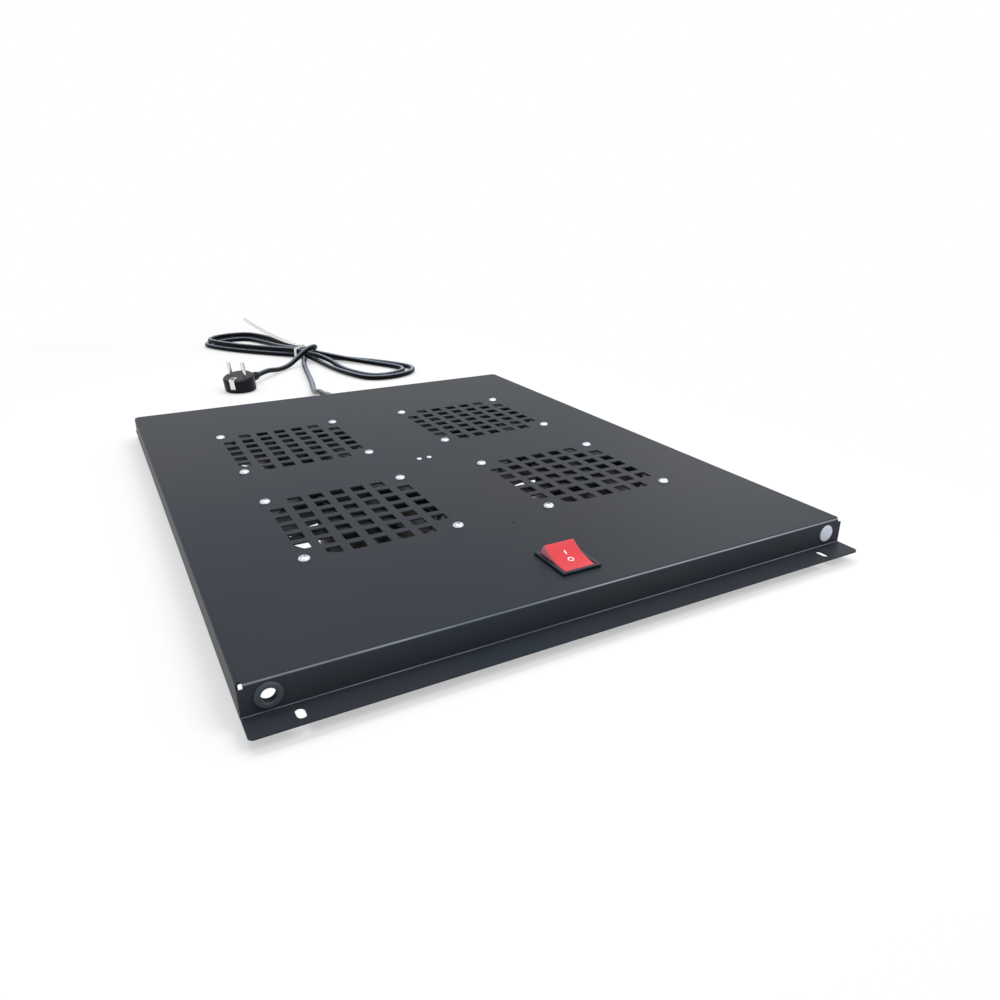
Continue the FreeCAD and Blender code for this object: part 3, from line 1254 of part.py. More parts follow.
def cord_hank():
    """Two turns of cord in a bow, tied at the waist: one plain solid with an opening in each loop."""
    half, loop = value("hank_length / 2"), value("hank_width / 2")
    waist, height, strand = value("hank_waist / 2"), value("hank_height"), value("hank_strand")
    outside = capsule(0, waist, half - loop, loop, height)
    inside = capsule(value("hank_opening"), 2, half - loop, loop - strand, height)
    lobe = outside.cut(inside)
    bow = lobe.fuse(lobe.mirror(Vector(), Vector(1, 0, 0))).removeSplitter()
    groove, depth = value("tie_width + 2 * tie_room"), value("tie_thick + tie_room / 2")
    bow = bow.cut(Part.makeBox(groove, 2 * waist + 2, depth, Vector(-groove / 2, -waist - 1, 0)))
    hank = feature("cord_hank", bow)
    hank.Placement = FreeCAD.Placement(HANK_MIDDLE + Vector(0, 0, GROUND_GAP),
                                       FreeCAD.Rotation(Vector(0, 0, 1), HANK_HEADING))
    return hank


def cable_tie():
    """Strap round the waist of the hank, its head on top and its free tail over the far loop."""
    width, thick = value("tie_width"), value("tie_thick")
    room = value("hank_waist / 2 + tie_room")
    top = value("hank_height + tie_room")
    loop = Part.makeBox(width, 2 * (room + thick), top + thick, Vector(-width / 2, -room - thick, 0))
    loop = loop.cut(Part.makeBox(width, 2 * room, top - thick, Vector(-width / 2, -room, thick)))
    head_size = (1.6 * width, 1.5 * width, 3.4 * thick)
    head = Part.makeBox(*head_size, Vector(-0.8 * width, -0.75 * width, top))
    head = head.makeFillet(value("tie_edge"), head.Edges)
    tail = Part.makeBox(value("tie_tail"), width * 0.8, thick * 0.8, Vector(0, -width * 0.4, 0))
    tail.rotate(Vector(), Vector(0, 1, 0), -value("tie_rise"))
    tail.translate(Vector(0, 0, top + head_size[2] * 0.35))
    tie = feature("cable_tie", loop.multiFuse([head, tail]).removeSplitter())
    tie.Placement = FreeCAD.Placement(HANK_MIDDLE + Vector(0, 0, GROUND_GAP),
                                      FreeCAD.Rotation(Vector(0, 0, 1), HANK_HEADING))
    return tie


# --- The mains plug ---------------------------------------------------------------------------

def plug_axis():
    """Direction of the pins: upright but for the slant of the plug's back, leaning off the cord."""
    lean = math.radians(value("mains_plug_lean"))
    return Vector(-math.sin(lean), 0, math.cos(lean))


def on_plug(side, along, up):
    """A place in the plug: across the cord, along the cord's line, and up the pins from the face."""
    lean = math.radians(value("mains_plug_lean"))
    face_middle = (Vector(0, 0, 1) + plug_axis()) * value("mains_plug_height / 2")
    forward = Vector(math.cos(lean), 0, math.sin(lean))
    return face_middle + forward * along + Vector(0, side, 0) + plug_axis() * up


def settle_on_ground(piece):
    piece.Placement = FreeCAD.Placement(PLUG_MIDDLE + Vector(0, 0, GROUND_GAP),
                                        FreeCAD.Rotation(Vector(0, 0, 1), PLUG_HEADING))
    return piece


def upright_box(width_along, width_across, height, middle_along, top):
    """A box square to the plug's face, from a depth below the face up to `top`."""
    box = Part.makeBox(width_along, width_across, height, Vector(-width_along / 2, -width_across / 2, 0))
    box.rotate(Vector(), Vector(0, 1, 0), -value("mains_plug_lean"))
    box.translate(on_plug(0, middle_along, top - height))
    return box


CLIP_DEPTHS = {-1: value("clip_deep"), 1: value("clip_shallow")}
CLIP_FACE = value("mains_plug_diameter / 2 - clip_inset")


def mains_plug_body():
    """Round body on a slanted back, two earth-clip slots in its sides and a ribbed cord neck."""
    radius, tall = value("mains_plug_diameter / 2"), value("mains_plug_height")
    barrel = Part.makeCylinder(radius, 2 * tall, on_plug(0, 0, -2 * tall), plug_axis())
    ground = Part.makeBox(6 * radius, 6 * radius, 3 * tall, Vector(-3 * radius, -3 * radius, 0))
    body = barrel.common(ground)
    body = body.makeFillet(value("mains_plug_edge"), [edge for edge in body.Edges if edge.isClosed()])
    slot_depth, spare = 4, 1
    middle_along = CLIP_FACE - value("clip_thick") + slot_depth / 2
    for side in (-1, 1):
        notch = upright_box(slot_depth, value("clip_width") + spare, CLIP_DEPTHS[side] + spare,
                            side * middle_along, spare)
        body = body.cut(notch)
    level = tall / 2
    thick, thin, length = value("neck_thick / 2"), value("neck_thin / 2"), value("neck_length")
    root, rib_count, rib_width = value("neck_root"), int(value("rib_count")), value("rib_width")
    start, whole = radius - root, length + root
    neck = Part.makeCone(thick, thin, whole, Vector(start, 0, level), Vector(1, 0, 0))
    for rib in range(rib_count):
        forward = 2 * root + rib * (length - 2 * root) / rib_count
        size = thick + (thin - thick) * forward / whole + value("rib_proud")
        foot = Vector(start + forward, 0, level)
        neck = neck.fuse(Part.makeCylinder(size, rib_width, foot, Vector(1, 0, 0)))
    shape = body.fuse(neck)
    pin_radius, seat = value("pin_diameter / 2 + seat_gap"), value("pin_seat")
    for side in (-1, 1):
        foot = on_plug(side * value("pin_pitch / 2"), 0, -seat)
        shape = shape.cut(Part.makeCylinder(pin_radius, seat, foot, plug_axis()))
    return settle_on_ground(feature("mains_plug_body", shape.removeSplitter()))


def mains_plug_pins():
    """Two round pins with domed tips, seated in the plug's face."""
    radius, length, seat = value("pin_diameter / 2"), value("pin_length"), value("pin_seat")
    pins = []
    for side in (-1, 1):
        foot = on_plug(side * value("pin_pitch / 2"), 0, -seat)
        pin = Part.makeCylinder(radius, seat + length, foot, plug_axis())
        tip = on_plug(side * value("pin_pitch / 2"), 0, length)
        rim = [edge for edge in pin.Edges if edge.isClosed() and (edge.CenterOfMass - tip).Length < 0.01]
        pins.append(pin.makeFillet(value("pin_round"), rim))
    return settle_on_ground(feature("mains_plug_pins", Part.makeCompound(pins)))


def plug_earth_clips():
    """Spring strips in the side slots; the one away from the cord folds over the face, with a hole."""
    thick, width, proud = value("clip_thick"), value("clip_width"), value("clip_proud")
    strips = []
    for side in (-1, 1):
        strips.append(upright_box(thick, width, CLIP_DEPTHS[side], side * (CLIP_FACE - thick / 2), proud))
    fold_length = value("clip_fold")
    fold_middle = fold_length / 2 - CLIP_FACE
    fold = upright_box(fold_length, width, thick, fold_middle, thick + proud)
    hole = Part.makeCylinder(value("clip_hole / 2"), 4 * thick, on_plug(0, fold_middle, -thick), plug_axis())
    strips[0] = strips[0].fuse(fold).cut(hole).removeSplitter()
    return settle_on_ground(feature("plug_earth_clips", Part.makeCompound(strips)))


# --- Build, check and write -------------------------------------------------------------------

def main():
    pieces = [tray_panel(), cable_grommet(), hole_plug()]
    fan_makers = [fan_frame, stator_core, stator_coils, fan_bearings, fan_shaft, rotor_cage, fan_rotor,
                  fan_lead]
    for corner in FANS:
        pieces += [maker(corner) for maker in fan_makers]
    makers = [fan_screws, fan_nuts, switch_housing, switch_rocker, switch_terminals, terminal_block,
              terminal_clamps, clamp_screws, block_screws, block_nuts, earth_stud, earth_terminal, earth_nut,
              mains_sheath, mains_cores, switch_wire, cord_bush, mains_cord, plug_cord, cord_hank, cable_tie,
              mains_plug_body, mains_plug_pins, plug_earth_clips]
    pieces += [maker() for maker in makers]
    doc.recompute()
    for item in doc.Objects:
        assert "Invalid" not in item.State and "Error" not in item.State, f"{item.Label}: {item.State}"
    os.makedirs("parts", exist_ok=True)
    for piece in pieces:
        assert not piece.Shape.isNull() and piece.Shape.isValid(), f"{piece.Label} has no valid shape"
        piece.Shape.exportStep(f"parts/{piece.Label}.step")
    print(f"{len(pieces)} nodes written")


main()
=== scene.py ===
# %% [markdown]
# # A rack fan tray, dressed in Blender
# The tray is a folded steel plate with four mains fans under square-hole grilles, a red rocker
# switch and a mains lead that is tied in a hank behind it. The solids come packed from CAD. What is
# left for Blender is their finish, the cord as one smooth line, the tie round it, the heads of the
# screws, the marks on the switch, and a plain studio.

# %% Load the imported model
import json
import math

import bmesh
import bpy
from mathutils import Matrix, Vector

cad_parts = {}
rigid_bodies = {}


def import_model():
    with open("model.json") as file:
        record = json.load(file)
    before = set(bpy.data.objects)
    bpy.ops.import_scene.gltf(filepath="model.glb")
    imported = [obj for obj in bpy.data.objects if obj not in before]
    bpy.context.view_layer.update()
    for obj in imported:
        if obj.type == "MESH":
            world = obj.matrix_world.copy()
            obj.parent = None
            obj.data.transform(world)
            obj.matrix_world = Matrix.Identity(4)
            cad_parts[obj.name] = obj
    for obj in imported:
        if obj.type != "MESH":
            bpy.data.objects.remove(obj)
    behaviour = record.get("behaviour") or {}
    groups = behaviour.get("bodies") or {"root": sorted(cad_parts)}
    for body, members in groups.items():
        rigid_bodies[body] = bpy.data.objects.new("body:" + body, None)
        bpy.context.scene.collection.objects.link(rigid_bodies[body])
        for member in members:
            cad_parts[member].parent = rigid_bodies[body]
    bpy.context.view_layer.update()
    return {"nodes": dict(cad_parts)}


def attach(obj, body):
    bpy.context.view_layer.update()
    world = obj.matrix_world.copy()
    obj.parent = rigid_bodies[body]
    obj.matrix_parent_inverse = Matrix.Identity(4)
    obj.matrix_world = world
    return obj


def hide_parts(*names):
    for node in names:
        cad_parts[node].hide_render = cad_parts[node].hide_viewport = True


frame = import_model()
MM = 0.001
CORNERS = {"front_left": (-1, -1), "front_right": (1, -1),
           "rear_left": (-1, 1), "rear_right": (1, 1)}

# %% [markdown]
# ## Camera
# A product picture is easiest to read when the camera looks down on the near corner of the plate,
# so that the top, the front wall and the cord behind all show. A camera is a place and three
# directions: the matrix is built from forward and right, and no tracking constraint is needed.

# %% Place the camera
LENS, SENSOR = 27.61, 36
CAMERA_PLACE = Vector((-0.23809, -0.57042, 0.2374))
forward = Vector((0.444, 0.814, -0.376)).normalized()
right = Vector((0.878, -0.479, 0)).normalized()
up = right.cross(forward).normalized()

camera_data = bpy.data.cameras.new("camera")
camera_data.lens = LENS
camera_data.sensor_width = SENSOR
camera_data.clip_start = 0.01
camera = bpy.data.objects.new("camera", camera_data)
directions = Matrix((right, up, -forward)).transposed().to_4x4()
camera.matrix_world = Matrix.Translation(CAMERA_PLACE) @ directions
bpy.context.scene.collection.objects.link(camera)
bpy.context.scene.camera = camera
print("camera at", tuple(round(value, 3) for value in CAMERA_PLACE))

# %% [markdown]
# ## The mains cord
# The lead leaves its bush at the back, drops to the floor, is wound into a bow of long loops and
# goes on to its plug. A cord is one piece from end to end, so it is one curve: a NURBS line, led
# along by a row of control points, is smooth everywhere. The loops are laid out along the hank's
# own line, with x towards the far loop and y across, because that is how one winds a cord over two
# hands. Sizes of the cord, the tie and the screws are in millimetres, and MM turns them into
# Blender's metres.

# %% Where the hank lies and how its turns are stacked
CORD = 7.0
HANK_TIE = Vector((54, 590, 0))
HANK_TURN = Matrix.Rotation(math.radians(113.5), 3, "Z")
FLOOR_LAY = 3.8
UNDER_TIE = 4.8
BESIDE = 7.7
OVER_TIE = UNDER_TIE + BESIDE
# The widest loop: (x, y) along its side, and at its tip also how far an inset pulls in x and y.
LOOP_SIDE = [(34, 13.6), (78, 27.5), (122, 39.5), (166, 44.6)]
LOOP_TIP = [(193, 41.5, 0.55, 0.9), (210.3, 17, 1, 0.3)]
print("hank tied at", tuple(HANK_TIE), "and", 2 * LOOP_TIP[-1][0], "mm long")


def on_hank(point):
    """From the hank's own line, in millimetres, to the tray's frame."""
    return HANK_TIE + HANK_TURN @ Vector(point)


# %% Half a loop and a whole one
def half_loop(end, side, inset_tie, inset_tip, heights):
    """Control points from the tie to the tip of a loop, an inset inside the widest loop.

    end is 1 for the far loop and -1 for the near one; side is 1 or -1 across the hank.
    """
    points = []
    for index, (x, y) in enumerate(LOOP_SIDE):
        inset = inset_tie + (inset_tip - inset_tie) * index / len(LOOP_SIDE)
        points.append((end * x, side * (y - inset)))
    for x, y, pull_in, pull_side in LOOP_TIP:
        points.append((end * (x - inset_tip * pull_in), side * (y - inset_tip * pull_side)))
    last = len(heights) - 1
    return [(x, y, heights[min(index, last)]) for index, (x, y) in enumerate(points)]


def whole_loop(end, side, out, back):
    """Out along one side of a loop and back along the other, each by (insets, heights)."""
    return half_loop(end, side, *out) + half_loop(end, -side, *back)[::-1]


# %% Wind the hank
# Heights from the tie to the tip of a half loop: on the floor, down to it, and on other turns.
FLAT = [FLOOR_LAY]
CLIMB = [10.6, 5.8, FLOOR_LAY]
UPPER = [11.3, 10.9]
hank = [(-22, 12.5, FLOOR_LAY), (-8, BESIDE, UNDER_TIE), (10, BESIDE, UNDER_TIE)]
hank += whole_loop(1, 1, (0, 0, FLAT), (0, 0, FLAT))
hank += [(10, -BESIDE, UNDER_TIE), (-10, -BESIDE, UNDER_TIE)]
hank += whole_loop(-1, -1, (0, 0, FLAT), (7.8, 1, FLAT))
hank += [(-10, 0, UNDER_TIE), (10, 0, UNDER_TIE)]
hank += whole_loop(1, 1, (7.7, 13, FLAT), (7.7, 13, CLIMB))
hank += [(10, 0, OVER_TIE), (-10, 0, OVER_TIE)]
hank += half_loop(-1, -1, 7.7, 14, CLIMB) + half_loop(-1, 1, 13, 14, FLAT)[::-1][:-2]
hank += [(-80, 12.5, 8.6), (-50, 12, 12.6), (-30, 10.5, 12.2),
         (-10, BESIDE, OVER_TIE), (10, BESIDE, OVER_TIE)]
hank += whole_loop(1, 1, (2, 5.5, UPPER), (0, 5.5, UPPER))
to_plug = [(10, -BESIDE, OVER_TIE), (-8, -BESIDE - 0.4, 12.8), (-22, -8.5, 16.5), (-34, 2, 22.5),
           (-40, 20, 22.5), (-42, 40, 13), (-46, 60, 4.6), (-56, 86, 4.6), (-65.6, 106, 8.8),
           (-71, 117.8, 10.1)]

to_hank = [(0, 265, 17.2), (0, 306, 17.2), (2, 335, 9.2), (8, 368, 3.7), (17, 406, 3.6),
           (25, 450, 3.7), (33, 496, 3.7), (42, 540, 3.8)]
NECK_END = (-39.79, 461.0, 10.1)
cord_points = to_hank + [tuple(on_hank(point)) for point in hank + to_plug] + [NECK_END]
print("control points of the cord", len(cord_points))


# %% Put a piece into the scene
def link(name, data):
    """An object for a mesh, curve or lamp, linked to the scene."""
    piece = bpy.data.objects.new(name, data)
    bpy.context.scene.collection.objects.link(piece)
    return piece


# %% A round smooth curve
def round_curve(name, points, diameter):
    """A smooth round cord led by control points in millimetres.

    Its radius is set at the points, not as the bevel depth: Blender counts a point's radius into
    the curve's bounding box, and the usual radius of 1 would make it a metre too large each way.
    """
    data = bpy.data.curves.new(name, "CURVE")
    data.dimensions = "3D"
    data.bevel_depth = 1
    data.bevel_resolution = 3
    data.resolution_u = 8
    data.use_fill_caps = True
    spline = data.splines.new("NURBS")
    spline.points.add(len(points) - 1)
    for target, point in zip(spline.points, points):
        target.co = (*(Vector(point) * MM), 1)
        target.radius = diameter / 2 * MM
    spline.order_u = 3
    spline.use_endpoint_u = True
    return link(name, data)


# %% Make the cord as one NURBS curve
cord = round_curve("mains_lead", cord_points, CORD)
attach(cord, "tray")
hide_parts("mains_cord", "cord_hank", "plug_cord")
print("cord", cord.name, "diameter", CORD, "mm")

# %% [markdown]
# ## The cable tie
# A nylon tie is a band with a row of fine teeth in a shallow channel, and a square head that grips
# it. The band goes round the six passes of cord and through the head, and its stiff free end curves
# up and twists. A band is easiest to make by hand as a row of small sections along a line, joined
# by quads: the teeth come from lifting every second section of the channel.

# %% Sections of the band
TIE_WIDTH, TIE_THICK = 4.6, 1.1
TOOTH_STEP = 1.0
TIE_TOP = OVER_TIE + CORD / 2 + 0.1
HEAD_HIGH, HEAD_ALONG, HEAD_ACROSS, HEAD_ROUND = 4.4, 7.4, 7.0, 0.7
RAIL = 0.32
CHANNEL_SLOPE = 0.12
SMOOTH_DEPTH, TOOTH_DEPTHS = 0.05, (0.25, 0.08)
TIP_WIDTH, TIP_WIDENING = 0.35, 0.22

print("band", TIE_WIDTH, "by", TIE_THICK, "mm; top of the cords", TIE_TOP, "mm")


def band_mesh(mesh, stations, width, thick, toothed):
    """Skin a band over stations of (middle, side, up); a toothed one also has a pointed end."""
    rings = []
    for index, (middle, side, upward) in enumerate(stations):
        from_end = len(stations) - 1 - index
        taper = min(1, TIP_WIDTH + TIP_WIDENING * from_end) if toothed else 1
        half, top = width / 2 * taper, thick / 2
        channel = top - (TOOTH_DEPTHS[index % 2] if toothed else SMOOTH_DEPTH)
        rail = half - RAIL * width * taper / 2
        outline = [(-half, -top), (half, -top), (half, top), (rail, top),
                   (rail - CHANNEL_SLOPE, channel), (CHANNEL_SLOPE - rail, channel),
                   (-rail, top), (-half, top)]
        rings.append([mesh.verts.new((middle + side * x + upward * z) * MM) for x, z in outline])
    for first, second in zip(rings, rings[1:]):
        for index, corner in enumerate(first):
            after = (index + 1) % len(first)
            mesh.faces.new((corner, first[after], second[after], second[index]))
    mesh.faces.new(rings[0][::-1])
    mesh.faces.new(rings[-1])


# %% A box with rounded edges, for the head
def rounded_box(mesh, middle, size, turn, radius):
    """A box with all its edges rounded, turned about Z."""
    made = bmesh.ops.create_cube(mesh, size=1)
    bmesh.ops.scale(mesh, vec=Vector(size) * MM, verts=made["verts"])
    edges = list({edge for vert in made["verts"] for edge in vert.link_edges})
    cut = bmesh.ops.bevel(mesh, geom=edges, offset=radius * MM, segments=3, affect="EDGES",
                          profile=0.5)
    verts = list({vert for face in cut["faces"] for vert in face.verts}
                 | {vert for vert in made["verts"] if vert.is_valid})
    bmesh.ops.rotate(mesh, cent=(0, 0, 0), matrix=turn, verts=verts)
    bmesh.ops.translate(mesh, vec=middle * MM, verts=verts)


# %% The strap's line round the cords
STRAP_HALF, STRAP_CORNER = 12.2, 4.0
STRAP_LOW, STRAP_HIGH = 0.1 + TIE_THICK / 2, TIE_TOP + TIE_THICK / 2


def round_the_cords():
    """Stations on a rounded rectangle round the waist, seen along the hank."""
    stations = []
    corners = [(STRAP_HALF, STRAP_LOW, -90), (STRAP_HALF, STRAP_HIGH, 0),
               (-STRAP_HALF, STRAP_HIGH, 90), (-STRAP_HALF, STRAP_LOW, 180)]
    for y, z, start in corners:
        inward = STRAP_CORNER if z == STRAP_LOW else -STRAP_CORNER
        centre = Vector((0, y - math.copysign(STRAP_CORNER, y), z + inward))
        for step in range(7):
            angle = math.radians(start + 15 * step)
            outward = Vector((0, math.cos(angle), math.sin(angle)))
            stations.append((centre + outward * STRAP_CORNER, outward))
    stations.append(stations[0])
    return stations


# %% The tail's line
def up_the_tail(bend=338, leave=6, curl=20, swing=10, twist=-63):
    """Stations on the free end: an arc of radius bend, and the rest in degrees.

    It leaves the head flat, rises by leave at first and by curl more at its end, and swings about
    the upright axis. It twists within its first third, as a stiff band does when it is pulled
    sideways, so its broad side shows for most of its length.
    """
    turn = Matrix.Rotation(math.radians(swing), 3, "Z")
    count = int(bend * math.radians(curl) / TOOTH_STEP)
    foot = Vector((math.sin(math.radians(leave)), 0, -math.cos(math.radians(leave)))) * bend
    stations = []
    for step in range(count + 1):
        angle = math.radians(leave + curl * step / count)
        outward = Vector((math.sin(angle), 0, -math.cos(angle)))
        middle = turn @ (outward * bend - foot) + Vector((0, 0, TIE_TOP + HEAD_HIGH / 2))
        tangent = turn @ Vector((math.cos(angle), 0, math.sin(angle)))
        rolled = Matrix.Rotation(math.radians(twist) * min(1, 3 * step / count), 3, tangent)
        stations.append((middle, rolled @ turn @ Vector((0, 1, 0)), rolled @ turn @ -outward))
    return stations


print("stations", len(round_the_cords()), "round the cords and", len(up_the_tail()), "up the tail")


# %% Build the tie
def placed(middle, *directions):
    """A station turned and moved from the hank's own line to the tray's frame."""
    return (on_hank(middle), *(HANK_TURN @ direction for direction in directions))


tie_mesh = bmesh.new()
along = Vector((1, 0, 0))
strap = [placed(middle, along, outward) for middle, outward in round_the_cords()]
band_mesh(tie_mesh, strap, TIE_WIDTH, TIE_THICK, toothed=False)
tail = [placed(*station) for station in up_the_tail()]
band_mesh(tie_mesh, tail, TIE_WIDTH, TIE_THICK, toothed=True)
rounded_box(tie_mesh, on_hank((0, 0, TIE_TOP + HEAD_HIGH / 2)),
            (HEAD_ALONG, HEAD_ACROSS, HEAD_HIGH), HANK_TURN, HEAD_ROUND)
bmesh.ops.recalc_face_normals(tie_mesh, faces=tie_mesh.faces)
tie_data = bpy.data.meshes.new("nylon_tie")
tie_mesh.to_mesh(tie_data)
tie_mesh.free()
tie = link("nylon_tie", tie_data)
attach(tie, "tray")
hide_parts("cable_tie")
print("tie faces", len(tie_data.polygons))

# %% [markdown]
# ## The screws
# Each fan hangs from four pan-head screws with a cross recess, and the terminal block from two
# small ones. The CAD screws are plain, because threads and recesses only matter to the eye. A screw
# is a turned shape, so its profile is spun round an axis, and the recess is cut by a Boolean
# modifier with two crossed wedges. One screw is made and then copied at different angles.


# %% Spin a profile
def spun(name, profile, segments):
    """A closed lathe shape from (radius, height) points that start and end on the axis."""
    mesh = bmesh.new()
    top, bottom = (mesh.verts.new((0, 0, profile[index][1] * MM)) for index in (0, -1))
    rings = []
    for radius, height in profile[1:-1]:
        rings.append([])
        for step in range(segments):
            angle = math.tau * step / segments
            place = Vector((radius * math.cos(angle), radius * math.sin(angle), height))
            rings[-1].append(mesh.verts.new(place * MM))
    for step in range(segments):
        after = (step + 1) % segments
        mesh.faces.new((top, rings[0][step], rings[0][after]))
        mesh.faces.new((bottom, rings[-1][after], rings[-1][step]))
        for upper, lower in zip(rings, rings[1:]):
            mesh.faces.new((upper[step], lower[step], lower[after], upper[after]))
    data = bpy.data.meshes.new(name)
    mesh.to_mesh(data)
    mesh.free()
    return data


# %% The wedge that cuts a recess
FOOT_SHARE = 0.55


def wedge(name, length, width, top, bottom):
    """A tapered bar across the axis, narrower at its foot."""
    mesh = bmesh.new()
    corners = []
    for height, share in ((top, 1.0), (bottom, FOOT_SHARE)):
        for x, y in ((-1, -1), (1, -1), (1, 1), (-1, 1)):
            corner = Vector((x * length / 2 * share, y * width / 2 * share, height))
            corners.append(mesh.verts.new(corner * MM))
    for face in ((0, 1, 2, 3), (7, 6, 5, 4),
                 (0, 4, 5, 1), (1, 5, 6, 2), (2, 6, 7, 3), (3, 7, 4, 0)):
        mesh.faces.new([corners[index] for index in face])
    bmesh.ops.recalc_face_normals(mesh, faces=mesh.faces)
    data = bpy.data.meshes.new(name)
    mesh.to_mesh(data)
    mesh.free()
    return data


# %% Make a cross-head screw
# Shares of the head's radius and height, and of the shank's radius.
DOME = [(0, 1), (0.3, 0.99), (0.55, 0.92), (0.78, 0.74), (0.93, 0.47), (1, 0.16), (0.985, 0)]
RECESS_LENGTH, RECESS_WIDTH, RECESS_TOP, RECESS_FOOT = 1.1, 0.24, 1.1, 0.3
THREAD_ROOT, SHANK_TIP = 0.86, 0.8
SCREW_SIDES = 28


def cross_head_screw(name, head, head_high, shank, length, pitch):
    """A pan-head screw whose head stands on height 0; head and shank are radii."""
    profile = [(radius * head, height * head_high) for radius, height in DOME]
    profile += [(shank, 0), (shank, -2 * pitch)]
    for turn in range(2, int(length / pitch) - 1):
        profile += [(shank, -turn * pitch), (shank * THREAD_ROOT, -(turn + 0.5) * pitch)]
    profile += [(shank * SHANK_TIP, -length), (0, -length)]
    screw = link(name, spun(name, profile, SCREW_SIDES))
    for quarter in (0, 1):
        cutter = link("recess", wedge("recess", head * RECESS_LENGTH, head * RECESS_WIDTH,
                                      head_high * RECESS_TOP, head_high * RECESS_FOOT))
        cutter.rotation_euler.z = quarter * math.pi / 2
        cut = screw.modifiers.new("recess", "BOOLEAN")
        cut.solver = "EXACT"
        cut.object = cutter
    bpy.context.view_layer.update()
    depsgraph = bpy.context.evaluated_depsgraph_get()
    finished = bpy.data.meshes.new_from_object(screw.evaluated_get(depsgraph))
    for spare in [screw] + [item for item in bpy.data.objects if item.name.startswith("recess")]:
        bpy.data.objects.remove(spare)
    print(name, "faces", len(finished.polygons))
    return finished


# %% A row of copies of one screw
TURN_EACH = 2.4


def screw_row(name, pattern, places, replaced):
    """Copies of one screw at places (x, y, z), each turned further than the one before."""
    mesh = bmesh.new()
    for index, place in enumerate(places):
        before = len(mesh.verts)
        mesh.from_mesh(pattern)
        mesh.verts.ensure_lookup_table()
        copied = mesh.verts[before:]
        turn = Matrix.Rotation(TURN_EACH * index, 3, "Z")
        bmesh.ops.rotate(mesh, cent=(0, 0, 0), matrix=turn, verts=copied)
        bmesh.ops.translate(mesh, vec=Vector(place) * MM, verts=copied)
    data = bpy.data.meshes.new(name)
    mesh.to_mesh(data)
    mesh.free()
    for face in data.polygons:
        face.use_smooth = True
    data.set_sharp_from_angle(angle=math.radians(35))
    row = link(name, data)
    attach(row, "tray")
    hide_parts(replaced)
    print(name, "faces", len(data.polygons))
    return row


# %% Put the screws in their places
PLATE_TOP = 26.2
FAN_PITCH, SCREW_PITCH, BLOCK_PITCH = 177, 105, 9
fan_places = [((side * FAN_PITCH + across * SCREW_PITCH) / 2,
               (end * FAN_PITCH + endways * SCREW_PITCH) / 2, PLATE_TOP)
              for side, end in CORNERS.values() for across in (-1, 1) for endways in (-1, 1)]
fan_screw = cross_head_screw("fan_screw", head=4, head_high=2.5, shank=1.95, length=12, pitch=0.7)
fan_screws = screw_row("cross_head_screws", fan_screw, fan_places, "fan_screws")
block_places = [(side * BLOCK_PITCH / 2, 0, PLATE_TOP) for side in (-1, 1)]
small_screw = cross_head_screw("small_screw", head=2.3, head_high=1.3, shank=1.2, length=16.7,
                               pitch=0.45)
block_screws = screw_row("block_cross_screws", small_screw, block_places, "block_screws")

# %% [markdown]
# ## Marks on the rocker
# The rocker carries a bar for on and a ring for off, printed in white on its hollowed face.
# Printed marks are paper thin, so they are small sheets laid on the same arc that the face is cut
# to, with a twentieth of a millimetre of thickness, and they ride on the rocker.

# %% The arc of the rocker's face
SWITCH_PLACE = Vector((0, -220, 24.1))
ROCKER_TILT = Matrix.Rotation(math.radians(16.4), 3, "X")
FACE_ARM, FACE_ANGLE = 14.6, math.radians(32)
FACE_END = Vector((FACE_ARM * math.cos(FACE_ANGLE), FACE_ARM * math.sin(FACE_ANGLE)))
FACE_DIP = 5.8
sag = FACE_END.y - FACE_DIP
FACE_RADIUS = (FACE_END.x ** 2 + sag ** 2) / (2 * sag)
print("face radius", round(FACE_RADIUS, 2))


def on_face(x, y, lift):
    """A place on the rocker's face, y from the pivot along the level rocker."""
    height = FACE_DIP + FACE_RADIUS - math.sqrt(FACE_RADIUS ** 2 - y ** 2) + lift
    return (SWITCH_PLACE + ROCKER_TILT @ Vector((x, y, height))) * MM


# %% A flat printed mark
PRINT_LIFTS = (0.01, 0.06)


def add_mark(mesh, outer, inner):
    """A flat mark between two outlines of (x, y) points, or a filled one if inner is None."""
    rings = [[mesh.verts.new(on_face(x, y, lift)) for x, y in outline]
             for outline in (outer, inner) if outline for lift in PRINT_LIFTS]
    count = len(outer)
    for step in range(count):
        after = (step + 1) % count
        mesh.faces.new((rings[0][step], rings[0][after], rings[1][after], rings[1][step]))
        if inner:
            mesh.faces.new((rings[1][step], rings[1][after], rings[3][after], rings[3][step]))
            mesh.faces.new((rings[3][step], rings[3][after], rings[2][after], rings[2][step]))
            mesh.faces.new((rings[2][step], rings[2][after], rings[0][after], rings[0][step]))
    if not inner:
        mesh.faces.new(rings[1])
        mesh.faces.new(rings[0][::-1])


# %% Print the bar and the ring
RING_MIDDLE, RING_OUTER, RING_INNER = -2.3, 2.0, 1.25
BAR_START, BAR_LENGTH, BAR_HALF, BAR_STEPS = 2.6, 3.3, 0.5, 6


def circle_points(radius, middle, count=40):
    """Points on a circle about (0, middle)."""
    angles = [math.tau * step / count for step in range(count)]
    return [(radius * math.cos(angle), middle + radius * math.sin(angle)) for angle in angles]


